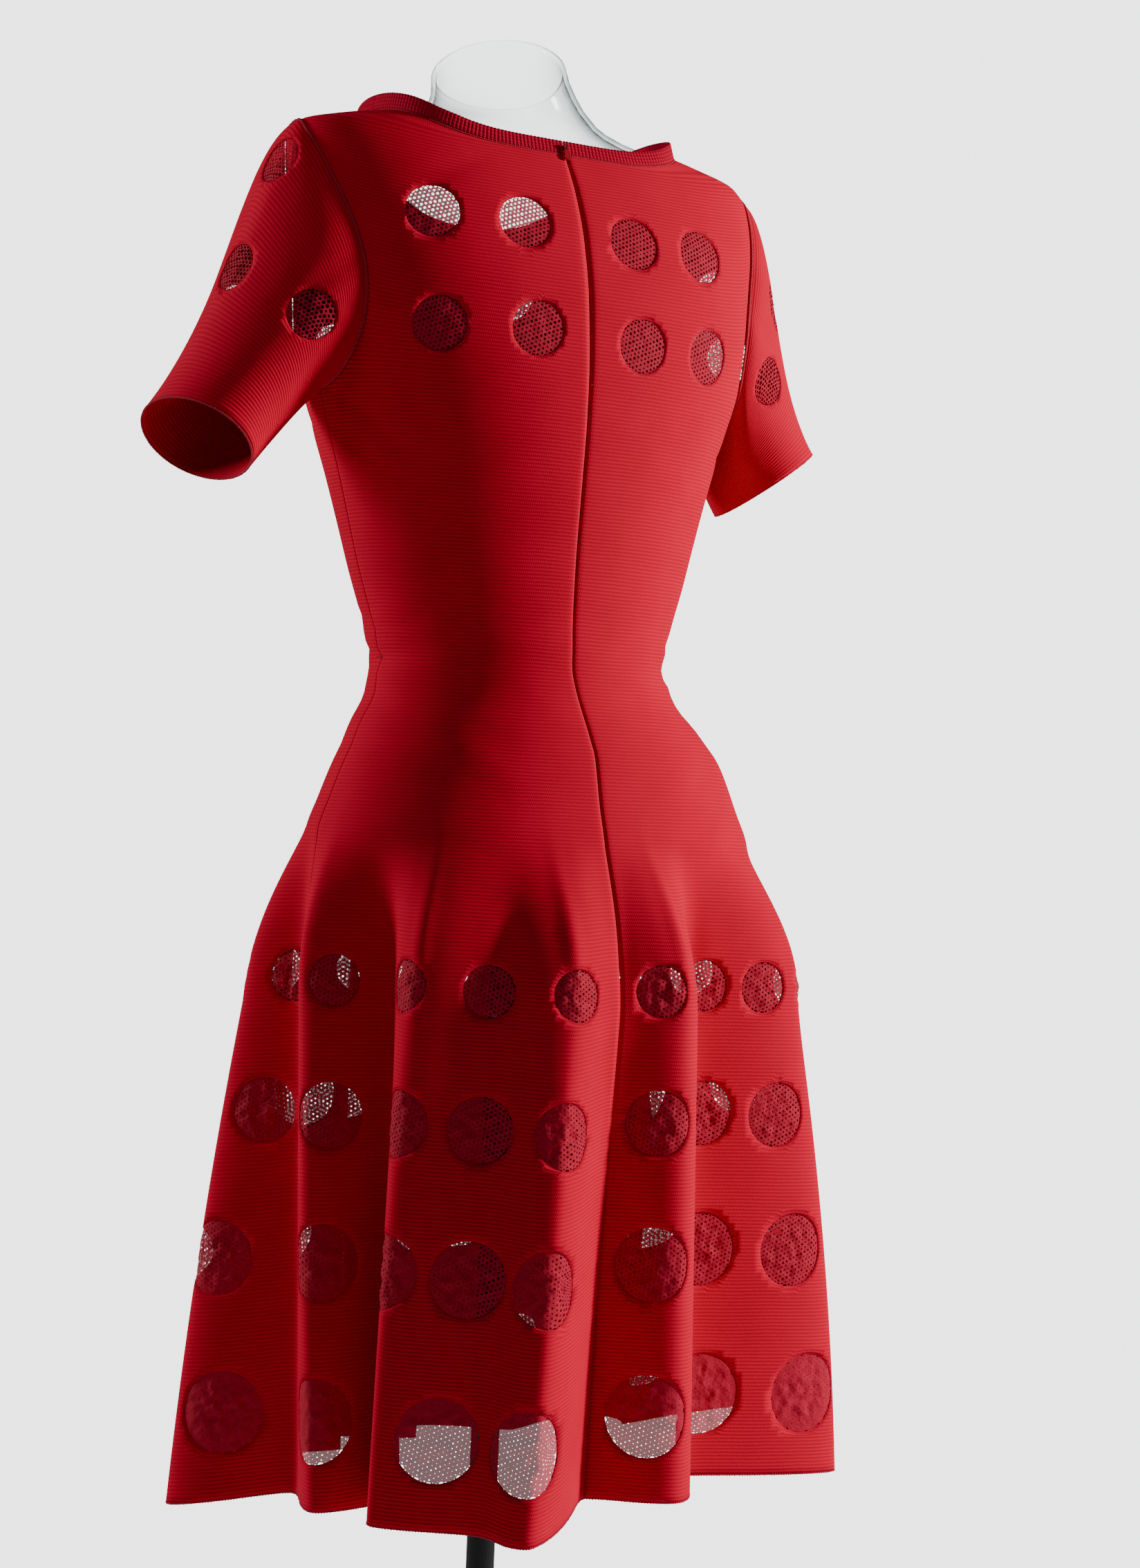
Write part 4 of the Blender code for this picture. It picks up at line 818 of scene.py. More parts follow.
class Dot:
    """A round opening in the cloth: its place in the grid, its middle and its radius."""

    def __init__(self, cloth, middle, across_mm, crinkle_mm, openness=1.0):
        self.place = cloth.nearest(middle)
        self.middle = cloth.read(cloth.points, self.place)
        self.radius = across_mm * MM / 2
        self.crinkle = crinkle_mm * MM
        self.openness = openness


def panel_at(degrees):
    return back_left if degrees < 90 else back_right if degrees < 180 else front


for degrees, back_height, front_height in BODICE_DOTS:
    for turn, height in ((degrees, back_height), (360 - degrees, front_height)):
        cloth = panel_at(turn)
        middle = body_point(turn, height)
        cloth.dots.append(Dot(cloth, middle, BODICE_DOT_MM, BODICE_CRINKLE_MM, BODICE_OPENNESS))

for share, across_mm, places in SKIRT_DOT_ROWS:
    openness = HEM_OPENNESS if share > HEM_ROW_SHARE else SKIRT_OPENNESS
    for degrees in places:
        middle = skirt(np.array(math.radians(degrees)), np.array(share))
        cloth = panel_at(degrees)
        cloth.dots.append(Dot(cloth, middle, across_mm, SKIRT_CRINKLE_MM, openness))

for word, *middle in SLEEVE_DOTS:
    sleeves[word].dots.append(Dot(sleeves[word], np.array(middle), SLEEVE_DOT_MM, SLEEVE_CRINKLE_MM))
print(sum(len(cloth.dots) for cloth in cloths.values()), "dots")

# %% [markdown]
# ## Cutting round holes in a grid
# A boolean would leave ragged triangles. Here the grid points nearest each circle slide along the cloth onto
# it, and the squares inside are left out, so the hole is round and the rest stays a clean grid.

# %% Round holes
# how far the window that is searched reaches beyond a dot, up and along, in radii
WINDOW_TALL = 1.6
WINDOW_WIDE = 1.9


def cut_dots(cloth):
    """Grid points moved onto the circles, and which squares stay."""
    points = cloth.points.copy()
    stays = np.ones((cloth.rows - 1, cloth.columns - 1), bool)
    rows, columns = np.meshgrid(np.arange(cloth.rows), np.arange(cloth.columns), indexing="ij")
    for dot in cloth.dots:
        row, column = np.round(dot.place).astype(int)
        above = cloth.points[min(row + 1, cloth.rows - 1), column]
        beside = cloth.points[row, min(column + 1, cloth.columns - 1)]
        step_up = np.linalg.norm(above - cloth.points[row - 1, column]) / 2
        step_on = np.linalg.norm(beside - cloth.points[row, column - 1]) / 2
        tall = int(dot.radius / step_up * WINDOW_TALL) + 3
        wide = int(dot.radius / step_on * WINDOW_WIDE) + 3
        window = (slice(max(row - tall, 0), row + tall + 1), slice(max(column - wide, 0), column + wide + 1))
        far = np.linalg.norm(points[window] - dot.middle, axis=-1)
        reach_up = np.linalg.norm(np.gradient(points[window], axis=0), axis=-1)
        reach_on = np.linalg.norm(np.gradient(points[window], axis=1), axis=-1)
        cell = np.maximum(reach_up, reach_on)
        slides = np.abs(far - dot.radius) < 0.5 * cell
        outside = (far > dot.radius) & ~slides
        touched = outside[:-1, :-1] | outside[1:, :-1] | outside[:-1, 1:] | outside[1:, 1:]
        kept_corner = np.zeros(far.shape, bool)
        for up, on in ((0, 0), (1, 0), (0, 1), (1, 1)):
            kept_corner[up:up + touched.shape[0], on:on + touched.shape[1]] |= touched
        slides |= kept_corner & (far < dot.radius)
        place_rows = rows[window][slides]
        place_columns = columns[window][slides]
        directions = np.stack([place_rows - dot.place[0], place_columns - dot.place[1]], axis=1)
        places = cloth.ring(dot.place, directions, dot.radius)
        points[place_rows, place_columns] = cloth.read(cloth.points, places)
        inner = stays[window[0].start:window[0].start + touched.shape[0],
                      window[1].start:window[1].start + touched.shape[1]]
        inner &= touched
    return points, stays


def mesh_piece(name, vertices, faces, material):
    """A new object at the origin with one material."""
    mesh = bpy.data.meshes.new(name)
    mesh.from_pydata(vertices, [], faces)
    mesh.materials.append(material)
    mesh.shade_smooth()
    return new_object(name, mesh)


def fix_normals(piece):
    """Turns all faces of a closed piece outwards."""
    work = bmesh.new()
    work.from_mesh(piece.data)
    bmesh.ops.recalc_face_normals(work, faces=work.faces)
    work.to_mesh(piece.data)
    work.free()


def tube_piece(name, rings, material):
    """A closed solid: squares between rings of points, and a face at each end."""
    number = np.arange(rings.shape[0] * rings.shape[1]).reshape(rings.shape[:2])
    following = np.roll(number, -1, axis=1)
    faces = np.stack([number[:-1], number[1:], following[1:], following[:-1]], axis=-1).reshape(-1, 4).tolist()
    faces += [number[0].tolist(), number[-1][::-1].tolist()]
    piece = mesh_piece(name, rings.reshape(-1, 3).tolist(), faces, material)
    fix_normals(piece)
    return piece


def cloth_piece(name, cloth, material):
    """The cloth as a thin shell with round holes and a UV map in metres."""
    points, stays = cut_dots(cloth)
    columns = cloth.columns - 1 if cloth.closed else cloth.columns
    number = np.arange(cloth.rows)[:, None] * columns + np.arange(cloth.columns)[None, :] % columns
    low, on = number[:-1, :-1], number[:-1, 1:]
    above, above_on = number[1:, :-1], number[1:, 1:]
    faces = np.stack([low, on, above_on, above], axis=-1)[stays]
    used = np.unique(faces)
    renumber = np.zeros(cloth.rows * columns, int)
    renumber[used] = np.arange(len(used))
    vertices = points[:, :columns].reshape(-1, 3)[used]
    piece = mesh_piece(name, vertices.tolist(), renumber[faces].tolist(), material)
    across = along_rows(cloth.points)
    across = across - across[:, [cloth.centre_column]]
    rises = np.linalg.norm(np.diff(cloth.points, axis=0), axis=-1)
    rises = rises.mean(axis=1) if cloth.closed else rises[:, cloth.centre_column]
    upward = np.concatenate([[0], np.cumsum(rises)])[:, None] + np.zeros((1, cloth.columns))
    flat = np.stack([across, upward], axis=-1)
    corners = np.stack([flat[:-1, :-1], flat[:-1, 1:], flat[1:, 1:], flat[1:, :-1]], axis=2)[stays]
    layer = piece.data.uv_layers.new(name="cloth")
    layer.data.foreach_set("uv", corners.reshape(-1).astype(np.float32))
    solidify = piece.modifiers.new("cloth thickness", "SOLIDIFY")
    solidify.thickness = CLOTH_MM * MM
    solidify.offset = -1
    return piece


cloth_pieces = {"cloth_" + word: cloth_piece("cloth_" + word, cloth, red_knit) for word, cloth in cloths.items()}
for name, piece in cloth_pieces.items():
    print(name, len(piece.data.polygons), "faces before its thickness")

# %% [markdown]
# ## The openwork net
# Each dot gets a patch of small triangles that lies in its hole. A Geometry Nodes tree turns the patch into
# net: Dual Mesh makes six-sided cells of the triangles, every cell is extruded by nothing and shrunk, and the
# shrunk tops are deleted. What is left is a lattice with an eyelet in each cell. Noise then crinkles it.

# %% Patches for the net
NET_PITCH_MM = 3.1
NET_TUCK_MM = 1.4
NET_DEPTH_MM = 0.45
NET_ROWS_TURN = math.radians(24)
NET_SPARE_PITCHES = 0.6
# share of a cell that its eyelet takes, in every other row
EYELET_SHARES = (0.74, 0.58)
CRINKLES_PER_METRE = 130.0


def net_patch(cloth, dot):
    """Points, triangles, eyelet sizes and crinkle heights of one dot's patch."""
    half_on, half_up = np.array([0, 0.5]), np.array([0.5, 0])
    across = cloth.read(cloth.points, dot.place + half_on) - cloth.read(cloth.points, dot.place - half_on)
    upward = cloth.read(cloth.points, dot.place + half_up) - cloth.read(cloth.points, dot.place - half_up)
    level = unit(across)
    upright = np.cross(unit(np.cross(across, upward)), level)
    pitch = NET_PITCH_MM * MM
    reach = int(dot.radius / pitch * 1.4) + 2
    number = {}
    spots = []
    for i in range(-reach, reach + 1):
        for j in range(-reach, reach + 1):
            x = (i + j * 0.5) * pitch
            y = j * math.sqrt(0.75) * pitch
            if math.hypot(x, y) > dot.radius + NET_TUCK_MM * MM + pitch * NET_SPARE_PITCHES:
                continue
            number[i, j] = len(spots)
            turned = (x * math.cos(NET_ROWS_TURN) - y * math.sin(NET_ROWS_TURN),
                      x * math.sin(NET_ROWS_TURN) + y * math.cos(NET_ROWS_TURN))
            spots.append((*turned, j))
    spots = np.array(spots)
    flat = spots[:, :1] * level + spots[:, 1:2] * upright
    sides = np.stack([upward, across], axis=1)
    directions = np.linalg.lstsq(sides, flat.T, rcond=None)[0].T
    far = np.minimum(np.hypot(spots[:, 0], spots[:, 1]), dot.radius + NET_TUCK_MM * MM)
    places = cloth.ring(dot.place, directions, far)
    points = cloth.read(cloth.points, places) - cloth.read(cloth.normals, places) * NET_DEPTH_MM * MM
    triangles = []
    for (i, j), here in number.items():
        if (i + 1, j) in number and (i, j + 1) in number:
            triangles.append((here, number[i + 1, j], number[i, j + 1]))
        if (i + 1, j) in number and (i + 1, j - 1) in number:
            triangles.append((here, number[i + 1, j - 1], number[i + 1, j]))
    open_share = np.where(spots[:, 2] % 2 == 0, *EYELET_SHARES) * dot.openness
    crinkle = dot.crinkle * np.clip(1 - (far / dot.radius) ** 4, 0, 1)
    return points, triangles, open_share, crinkle


def net_patches(name, cloth):
    """All patches of one piece of cloth as one mesh with its two attributes."""
    vertices, faces, open_shares, crinkles = [], [], [], []
    for dot in cloth.dots:
        points, triangles, open_share, crinkle = net_patch(cloth, dot)
        first = len(vertices)
        vertices += points.tolist()
        faces += [tuple(first + corner for corner in triangle) for triangle in triangles]
        open_shares += open_share.tolist()
        crinkles += crinkle.tolist()
    piece = mesh_piece(name, vertices, faces, net_thread)
    for label, values in (("eyelet", open_shares), ("crinkle", crinkles)):
        piece.data.attributes.new(label, "FLOAT", "POINT").data.foreach_set("value", values)
    return piece


print("net pitch", NET_PITCH_MM, "mm")

# %% Trees for Geometry Nodes
def new_tree(name, inputs):
    """A Geometry Nodes tree with a geometry input, named inputs and a geometry output."""
    tree = bpy.data.node_groups.new(name, "GeometryNodeTree")
    tree.interface.new_socket("Geometry", in_out="INPUT", socket_type="NodeSocketGeometry")
    for label, kind in inputs.items():
        tree.interface.new_socket(label, in_out="INPUT", socket_type=kind)
    tree.interface.new_socket("Geometry", in_out="OUTPUT", socket_type="NodeSocketGeometry")
    return tree, add_node(tree, "NodeGroupInput").outputs


def close_tree(tree, geometry, material):
    """The last nodes of every tree: smooth shading, plain meshes and a material."""
    smooth = add_node(tree, "GeometryNodeSetShadeSmooth", {"Geometry": geometry})
    real = add_node(tree, "GeometryNodeRealizeInstances", {"Geometry": smooth})
    painted = add_node(tree, "GeometryNodeSetMaterial", {"Geometry": real, "Material": material})
    add_node(tree, "NodeGroupOutput", {0: painted})
    return tree


def run_tree(piece, tree, values):
    """Sets a tree's inputs by their identifiers, runs it and keeps the result as a plain mesh."""
    modifier = piece.modifiers.new(tree.name, "NODES")
    modifier.node_group = tree
    identifiers = {item.name: item.identifier for item in tree.interface.items_tree if item.in_out == "INPUT"}
    for label, value in values.items():
        modifier[identifiers[label]] = value
    piece.update_tag()
    evaluated = piece.evaluated_get(bpy.context.evaluated_depsgraph_get())
    mesh = bpy.data.meshes.new_from_object(evaluated)
    piece.modifiers.clear()
    old = piece.data
    piece.data = mesh
    bpy.data.meshes.remove(old)
    mesh.name = piece.name
    return piece


def build_net_tree():
    """Six-sided cells with an eyelet in each, crinkled by noise."""
    tree, source = new_tree("openwork net", {
        "Crinkle Scale": "NodeSocketFloat", "Material": "NodeSocketMaterial"})
    cells = add_node(tree, "GeometryNodeDualMesh", {"Mesh": source["Geometry"]})
    grown = add_node(tree, "GeometryNodeExtrudeMesh", {"Mesh": cells, "Offset Scale": 0.0}, mode="FACES")
    eyelet = add_node(tree, "GeometryNodeInputNamedAttribute", {"Name": "eyelet"}, data_type="FLOAT")
    jitter = add_node(tree, "FunctionNodeRandomValue", {"Min": -0.10, "Max": 0.08, "Seed": 5}, data_type="FLOAT")
    size = add_node(tree, "ShaderNodeMath", {0: eyelet, 1: jitter.outputs["Value"]}, operation="ADD")
    shrunk = add_node(tree, "GeometryNodeScaleElements", {
        "Geometry": grown, "Selection": grown.outputs["Top"], "Scale": size}, domain="FACE")
    holed = add_node(tree, "GeometryNodeDeleteGeometry", {
        "Geometry": shrunk, "Selection": grown.outputs["Top"]}, domain="FACE")
    place = add_node(tree, "GeometryNodeInputPosition")
    noise = add_node(tree, "ShaderNodeTexNoise", {"Vector": place, "Scale": source["Crinkle Scale"],
                                                  "Detail": 2.0})
    height = add_node(tree, "ShaderNodeMath", {0: noise, 1: 4.0, 2: -1.7}, operation="MULTIPLY_ADD")
    crinkle = add_node(tree, "GeometryNodeInputNamedAttribute", {"Name": "crinkle"}, data_type="FLOAT")
    amount = add_node(tree, "ShaderNodeMath", {0: height, 1: crinkle}, operation="MULTIPLY")
    normal = add_node(tree, "GeometryNodeInputNormal")
    offset = add_node(tree, "ShaderNodeVectorMath", {0: normal, "Scale": amount}, operation="SCALE")
    moved = add_node(tree, "GeometryNodeSetPosition", {"Geometry": holed, "Offset": offset})
    return close_tree(tree, moved, source["Material"])


net_tree = build_net_tree()
nets = {}
for word, cloth in cloths.items():
    name = "net_" + word
    nets[name] = run_tree(net_patches(name, cloth), net_tree, {
        "Crinkle Scale": CRINKLES_PER_METRE, "Material": net_thread})
    print(name, len(nets[name].data.polygons), "faces")

# %% [markdown]
# ## The ribbed neckband
# The band is knitted on as a rib: one stitch stands out and the next lies back. Its section, with a rounded
# top, runs along the neckline and swells with each rib. It leans to the neck behind and stands up at the sides.

# %% Ribbed neckband
BAND_HEIGHT_MM = 11.5
BAND_THICK_MM = 1.3
RIB_PITCH_MM = 2.7
RIB_RISE_MM = 0.5
RIB_STEPS = 7
RIB_SHARPNESS = 0.8
RIB_VALLEY = 0.35
BAND_UPRIGHT = 0.85
BAND_LEAN = 0.12
# name, first and last turn in degrees; the gaps are at the shoulders and at the zip
BANDS = [("band_front", 180.12, 359.88), ("band_back_left", 0.12, 89.74), ("band_back_right", 90.26, 179.88)]


def band_frame(turn):
    """Foot, rising direction and outward direction of the band at turns round the neck."""
    place = neckline(turn)
    normal = torso_normal(*place)
    along = unit(torso(*neckline(turn + 0.02)) - torso(*neckline(turn - 0.02)))
    rise = unit(np.cross(normal, along))
    rise *= np.sign(rise[:, 2:])
    upright = BAND_UPRIGHT * np.abs(np.cos(turn))[:, None] ** 3
    direction = unit(rise * (1 - upright) + np.array([0, 0, 1]) * upright + normal * BAND_LEAN)
    outward = unit(np.cross(along, direction))
    outward *= np.sign((outward * normal).sum(1, keepdims=True))
    return torso(*place), direction, outward


def band_section():
    """Outward and upward place of each point of the section, and how much a rib moves it each way."""
    half = BAND_THICK_MM / 2
    rows = [(0, BAND_HEIGHT_MM * share, 1.0, 0.0) for share in (0.02, 0.3, 0.6)]
    for degrees in range(0, 181, 30):
        bend = math.radians(degrees)
        rows.append((half * math.cos(bend) - half, BAND_HEIGHT_MM - half + half * math.sin(bend),
                     max(math.cos(bend), -0.5), 0.7 * math.sin(bend)))
    rows += [(-BAND_THICK_MM, BAND_HEIGHT_MM * share, -0.5, 0.0) for share in (0.5, 0.02)]
    return np.array(rows)


def band_piece(name, start, end):
    """One length of band as a closed solid."""
    turns = np.radians(np.linspace(start, end, 1500))
    length = distances(band_frame(turns)[0])
    count = round(length[-1] / (RIB_PITCH_MM * MM) * RIB_STEPS)
    along = np.linspace(0, length[-1], count + 1)
    foot, direction, outward = band_frame(np.interp(along, length, turns))
    rib = np.abs(np.cos(math.pi * along / (RIB_PITCH_MM * MM))) ** RIB_SHARPNESS - RIB_VALLEY
    section = band_section()
    out = section[:, 0] + rib[:, None] * RIB_RISE_MM * section[:, 2]
    up = section[:, 1] + rib[:, None] * RIB_RISE_MM * section[:, 3]
    points = foot[:, None] + (outward[:, None] * out[..., None] + direction[:, None] * up[..., None]) * MM
    piece = tube_piece(name, points, red_band_knit)
    wide = len(section)
    layer = piece.data.uv_layers.new(name="cloth")
    corners = np.zeros(len(piece.data.loops), int)
    piece.data.loops.foreach_get("vertex_index", corners)
    flat = np.stack([along[corners // wide], section[corners % wide, 1] * MM], axis=1)
    layer.data.foreach_set("uv", flat.reshape(-1).astype(np.float32))
    return piece


bands = {name: band_piece(name, start, end) for name, start, end in BANDS}
for name, piece in bands.items():
    print(name, len(piece.data.polygons), "faces")

# %% [markdown]
# ## Sewn and finished edges
# The armholes are overlocked and stand up a little, the hem and the cuffs end in a fine rolled edge, the band is
# linked on stitch by stitch, and the closed zip has its coil. All are threads wrapped round a core, so one tree
# makes them all: it runs a tube along a path and sets a slanted wrap on it at each stitch.

# %% Stitched edges
# pitch, core radius and wrap radius in mm, slant of the wrap in degrees
ARMHOLE_STITCH = (1.5, 0.8, 1.15, 28)
HEM_STITCH = (1.9, 0.55, 0.8, 22)
CUFF_STITCH = (1.5, 0.5, 0.75, 22)
LINKING_STITCH = (RIB_PITCH_MM / 2, 0.4, 0.62, 20)
COIL_STITCH = (1.3, 0.35, 0.7, 12)
SEAM_LIFT_MM = 0.8
HEM_SINK_MM = 0.55
CUFF_SINK_MM = 0.5
LINKING_LIFT_MM = 0.15
COIL_DEPTH_MM = 1.75


def build_stitch_tree():
    """A core along a path with a slanted wrap at every stitch."""
    tree, source = new_tree("stitched edge", {
        "Pitch": "NodeSocketFloat", "Core Radius": "NodeSocketFloat", "Wrap Radius": "NodeSocketFloat",
        "Slant": "NodeSocketFloat", "Material": "NodeSocketMaterial"})
    curve = add_node(tree, "GeometryNodeMeshToCurve", {"Mesh": source["Geometry"]})
    even = add_node(tree, "GeometryNodeResampleCurve", {"Curve": curve, "Length": source["Pitch"]}, mode="LENGTH")
    ring = add_node(tree, "GeometryNodeCurvePrimitiveCircle", {"Resolution": 6, "Radius": source["Core Radius"]})
    core = add_node(tree, "GeometryNodeCurveToMesh", {"Curve": even, "Profile Curve": ring, "Fill Caps": True})
    bead = add_node(tree, "GeometryNodeMeshUVSphere", {"Segments": 7, "Rings": 5, "Radius": 1.0})
    tangent = add_node(tree, "GeometryNodeInputTangent")
    turned = add_node(tree, "FunctionNodeAlignRotationToVector", {"Vector": tangent}, axis="Z")
    jitter = add_node(tree, "FunctionNodeRandomValue", {"Min": 0.85, "Max": 1.15, "Seed": 11}, data_type="FLOAT")
    uneven = jitter.outputs["Value"]
    lean = add_node(tree, "ShaderNodeMath", {0: source["Slant"], 1: uneven}, operation="MULTIPLY")
    lean_turn = add_node(tree, "ShaderNodeCombineXYZ", {"X": lean, "Y": lean})
    leaning = add_node(tree, "FunctionNodeRotateRotation", {"Rotation": turned, "Rotate By": lean_turn},
                       rotation_space="LOCAL")
    wide = add_node(tree, "ShaderNodeMath", {0: source["Wrap Radius"], 1: uneven}, operation="MULTIPLY")
    long = add_node(tree, "ShaderNodeMath", {0: source["Pitch"], 1: 0.52}, operation="MULTIPLY")
    size = add_node(tree, "ShaderNodeCombineXYZ", {"X": wide, "Y": wide, "Z": long})
    wraps = add_node(tree, "GeometryNodeInstanceOnPoints", {
        "Points": even, "Instance": bead, "Rotation": leaning, "Scale": size})
    both = add_node(tree, "GeometryNodeJoinGeometry", {0: core})
    tree.links.new(wraps.outputs[0], both.inputs[0])
    return close_tree(tree, both, source["Material"])


def stitched(name, line, closed, stitch, material):
    """Stitches along a line of points, as one piece."""
    ends = [(i, i + 1) for i in range(len(line) - 1)] + ([(len(line) - 1, 0)] if closed else [])
    mesh = bpy.data.meshes.new(name)
    mesh.from_pydata(line.tolist(), ends, [])
    pitch, core, wrap, slant = stitch
    edges[name] = run_tree(new_object(name, mesh), stitch_tree, {
        "Pitch": pitch * MM, "Core Radius": core * MM, "Wrap Radius": wrap * MM,
        "Slant": math.radians(slant), "Material": material})
    print(name, len(edges[name].data.polygons), "faces")


def lowest_row(cloth, depth_mm):
    """The lowest row of a cloth's grid, sunk to a depth below its face."""
    line = cloth.points[0] - cloth.normals[0] * depth_mm * MM
    return line[:-1] if cloth.closed else line


stitch_tree = build_stitch_tree()
edges = {}
for word, (line, normal) in armholes.items():
    raised = line[:-1] + normal[:len(line) - 1] * SEAM_LIFT_MM * MM
    stitched("seam_armhole_" + word, raised, True, ARMHOLE_STITCH, seam_thread)
for word, cloth in panels.items():
    stitched("hem_" + word, lowest_row(cloth, HEM_SINK_MM), False, HEM_STITCH, seam_thread)
for word, sleeve in sleeves.items():
    stitched("cuff_" + word, lowest_row(sleeve, CUFF_SINK_MM), True, CUFF_STITCH, seam_thread)
for name, start, end in BANDS:
    foot, _, outward = band_frame(np.radians(np.linspace(start, end, 400)))
    stitched("linking_" + name, foot + outward * LINKING_LIFT_MM * MM, False, LINKING_STITCH, seam_thread)

zip_line = (back_left.points[:, -1] + back_right.points[:, 0]) / 2
zip_normal = unit(back_left.normals[:, -2] + back_right.normals[:, 1])
behind_gap = (zip_line - zip_normal * COIL_DEPTH_MM * MM)[zip_line[:, 2] > ZIP_END_Z]
stitched("zip_coil", behind_gap, False, COIL_STITCH, coil_nylon)

# %% [markdown]
# ## The clear torso form
# A display form is blow-moulded in two halves, so a fine line runs up each side. Its wall is 3 mm and its neck
# is cut at a slant. The form follows the cloth from inside, a little narrower where the cloth is creased.

# %% Form shell
FORM_COVER_MM = 2.2
FORM_WALL_MM = 3.0
FORM_ROOM_MM = 0.8
FORM_BOTTOM_Z = 0.868
FORM_FIRST_RING_Z = 0.884
FORM_LAST_RING_Z = 1.413
FORM_RIM_Z = 1.444
FORM_RIM_RISE = 0.019
FORM_TUCK = 0.017
FORM_YOKE_MM = 1.9
FORM_YOKE_START_Z = 1.150
FORM_RELIEF_MM = 2.0
FORM_RELIEF_WIDTH = 0.020
FORM_ROWS = 110
FORM_COLUMNS = 168
MOULD_LINE_MM = 0.5
MOULD_LINE_WIDTH_MM = 0.9
FORM_LIP_MM = 0.6
RIM_SHARES = (0.25, 0.5, 0.75, 0.95, 1.0)
# how wide each ring of the rounded bottom is against the lowest ring of the body, and how high it lies in mm
BOTTOM_RINGS = ((0.90, 0.0), (0.95, 1.0), (0.975, 4.5))
# extra columns beside each mould line, in radians from it
FINE_COLUMNS = np.array([-0.020, -0.010, 0.010, 0.020])


def form_skin(around, height, depth_mm):
    """Points of one skin of the form, a depth below the cloth."""
    point = torso(around, height)
    from_zip = point[..., 0] - torso(np.full_like(height, math.pi / 2), height)[..., 0]
    behind = (np.sin(around) > 0) & (height < NECK_POINT_Z)
    relief = np.where(behind, FORM_RELIEF_MM * np.exp(-(from_zip / FORM_RELIEF_WIDTH) ** 2), 0)
    tuck = FORM_TUCK / MM * np.clip(HIP_Z - height, 0, None) / (HIP_Z - FORM_BOTTOM_Z)
    yoke = FORM_YOKE_MM * np.clip((height - FORM_YOKE_START_Z) / (UNDERARM_Z - FORM_YOKE_START_Z), 0, 1)
    to_side = np.abs(np.sin(around)) * half_width(height)
    is_outer = depth_mm < FORM_COVER_MM + FORM_WALL_MM
    mould = MOULD_LINE_MM * np.exp(-(to_side / (MOULD_LINE_WIDTH_MM * MM)) ** 2) if is_outer else 0
    room = FORM_ROOM_MM * np.clip((NECK_POINT_Z - height) / 0.02, 0, 1)
    total = (depth_mm + relief + tuck + yoke + room - mould) * MM
    return point - torso_normal(around, height) * total[..., None]


def form_rings(depth_mm, lift_mm):
    """All rings of one skin, from the bottom to the slanted rim."""
    angles = np.linspace(0, 2 * math.pi, FORM_COLUMNS, endpoint=False)
    angles = np.sort(np.concatenate([angles, FINE_COLUMNS % (2 * math.pi), FINE_COLUMNS + math.pi]))
    heights = np.linspace(FORM_FIRST_RING_Z, FORM_LAST_RING_Z, FORM_ROWS)
    body = form_skin(*np.meshgrid(angles, heights), depth_mm)
    end = np.maximum(FORM_RIM_Z + FORM_RIM_RISE * np.sin(angles), FORM_LAST_RING_Z + 2 * MM)
    rims = [FORM_LAST_RING_Z + (end - FORM_LAST_RING_Z) * share for share in RIM_SHARES]
    top = np.stack([form_skin(angles, rim, depth_mm) for rim in rims])
    low = []
    for share, rise_mm in BOTTOM_RINGS:
        ring = body[0].copy()
        ring[:, :2] = np.array([HIP_SHIFT, SKIRT_Y / 2]) * (1 - share) + ring[:, :2] * share
        ring[:, 2] = FORM_BOTTOM_Z + (rise_mm + lift_mm) * MM
        low.append(ring)
    return np.concatenate([np.stack(low), body, top])


def form_piece():
    """The hollow form: two skins joined at the rim, each closed at the bottom."""
    outer = form_rings(FORM_COVER_MM, 0.0)
    inner = form_rings(FORM_COVER_MM + FORM_WALL_MM, FORM_WALL_MM)
    lip = (outer[-1:] + inner[-1:]) / 2 + np.array([0, 0, FORM_LIP_MM * MM])
    return tube_piece("form_shell", np.concatenate([outer, lip, inner[::-1]]), clear_acrylic)


form_shell = form_piece()
print("form", len(form_shell.data.polygons), "faces")

# %% [markdown]
# ## Small hard parts from CAD
# The zip's tape, slider and pull and the stand are exact in CAD already, so their nodes stay and get a finish.

# %% Finishes for the CAD nodes
CAD_FINISHES = {"zip_tape": tape_weave, "zip_slider": slider_metal, "zip_pull": pull_enamel,
                "form_socket": clear_socket, "stand_pole": black_steel, "stand_collar": black_steel,
                "stand_base": black_steel}
for name, material in CAD_FINISHES.items():
    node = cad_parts[name]
    for holder in node.material_slots:
        holder.material = material
    print(name, "is", material.name)

# %% [markdown]
# ## Light and ground
# A small key light stands 2.6 m to the right of the dress, so each ridge throws a clear shadow to the left. A
# weaker and wider light on the left, slightly behind, draws the rim, and a third fills the shadows a little.
# The backdrop is bright to the camera but hardly lights the dress, as a far studio wall does.

# %% Lights, backdrop and floor
# name, metres from the stand towards the camera, to the picture's right and up, size in metres, power in watts
LIGHTS = [
    ("key", 0.0, 2.6, 1.7, 0.30, 126.0),
    ("rim", -0.45, -2.3, 1.6, 0.6, 44.0),
    ("fill", 0.9, -0.6, 2.2, 0.7, 3.6),
]
AIM_Z = 0.98
BACKDROP_STRENGTH = 3.6
AMBIENT_STRENGTH = 0.04
FLOOR_RADIUS = 1.9

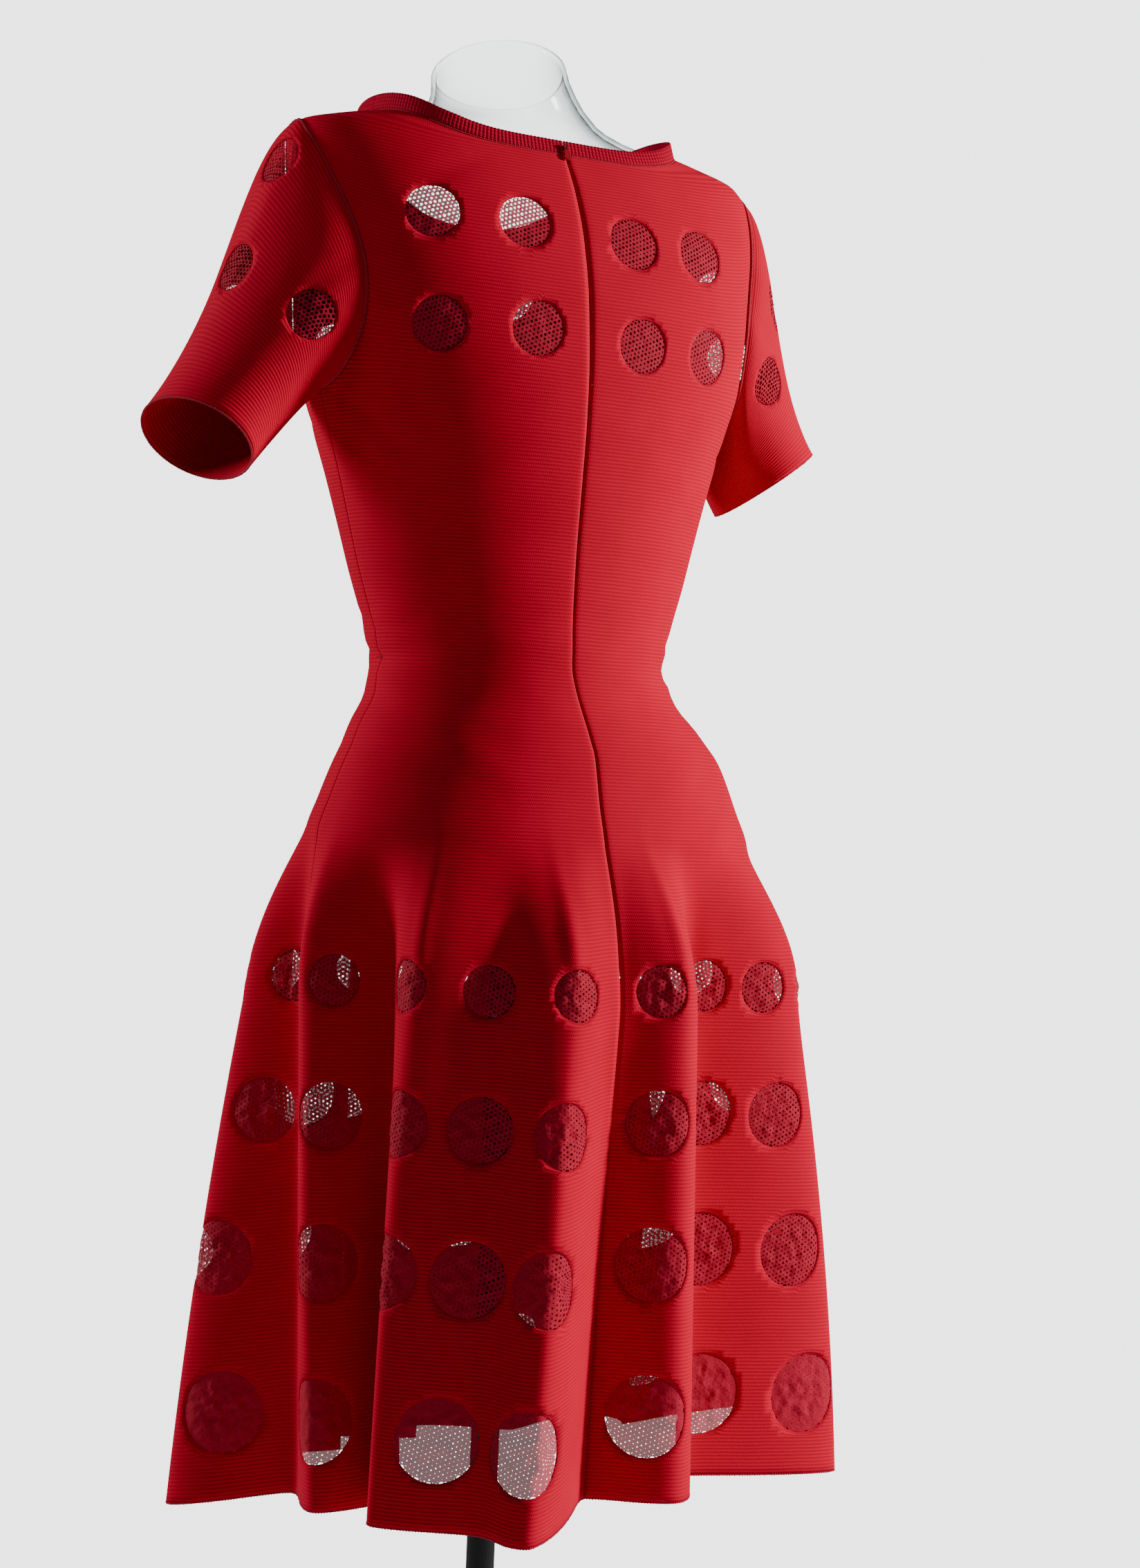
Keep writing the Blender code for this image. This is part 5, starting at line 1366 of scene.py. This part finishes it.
for name, forward, right, height, size, power in LIGHTS:
    light = new_object(name, bpy.data.lights.new(name, "AREA"))
    light.data.shape = "DISK"
    light.data.size = size
    light.data.energy = power
    place = towards_camera * forward + picture_right * right + straight_up * height
    aim = straight_up * AIM_Z - place
    light.matrix_world = Matrix.Translation(place) @ aim.to_track_quat("-Z", "Y").to_matrix().to_4x4()

world = bpy.data.worlds.new("studio backdrop")
bpy.context.scene.world = world
world.use_nodes = True
tree = world.node_tree
tree.nodes.clear()
ray = add_node(tree, "ShaderNodeLightPath").outputs["Is Camera Ray"]
seen = add_node(tree, "ShaderNodeBackground", {"Color": linear("#F2F3F3"), "Strength": BACKDROP_STRENGTH})
lighting = add_node(tree, "ShaderNodeBackground", {"Color": linear("#E6E8EA"), "Strength": AMBIENT_STRENGTH})
either = add_node(tree, "ShaderNodeMixShader", {0: ray, 1: lighting, 2: seen})
add_node(tree, "ShaderNodeOutputWorld", {0: either})

rim_points = [(FLOOR_RADIUS * math.cos(turn), FLOOR_RADIUS * math.sin(turn), -0.001)
              for turn in np.linspace(0, 2 * math.pi, 96, endpoint=False)]
paper = grained_material("matt studio paper", "#E4E5E5", "#EDEDED", 0.9, 3.0, 0.02)
floor = mesh_piece("floor", rim_points, [list(range(len(rim_points)))], paper)
print(len(LIGHTS), "lights")

# %% [markdown]
# ## What each piece stands for
# Every piece moves with the root body, and the CAD node it stands for is hidden. The bands, the zip coil and
# the form also get the names of their CAD finish slots.

# %% Pieces and the CAD nodes they replace
replaced = {"form_shell": "form_torso"}
replaced.update({name: name.replace("band", "neckband") for name in bands})
replaced.update({name: name[6:] if "sleeve" in name else "dress" + name[5:] for name in cloth_pieces})
slots = {name: "red_rib" for name in bands}
slots.update(zip_coil="zip_tape_red", form_shell="clear_plastic")
shown = {**cloth_pieces, **bands, **edges, **nets, "form_shell": form_shell}
for name, piece in shown.items():
    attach(piece, "root")
    if name in replaced:
        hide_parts(replaced[name])
print(len(shown), "pieces")
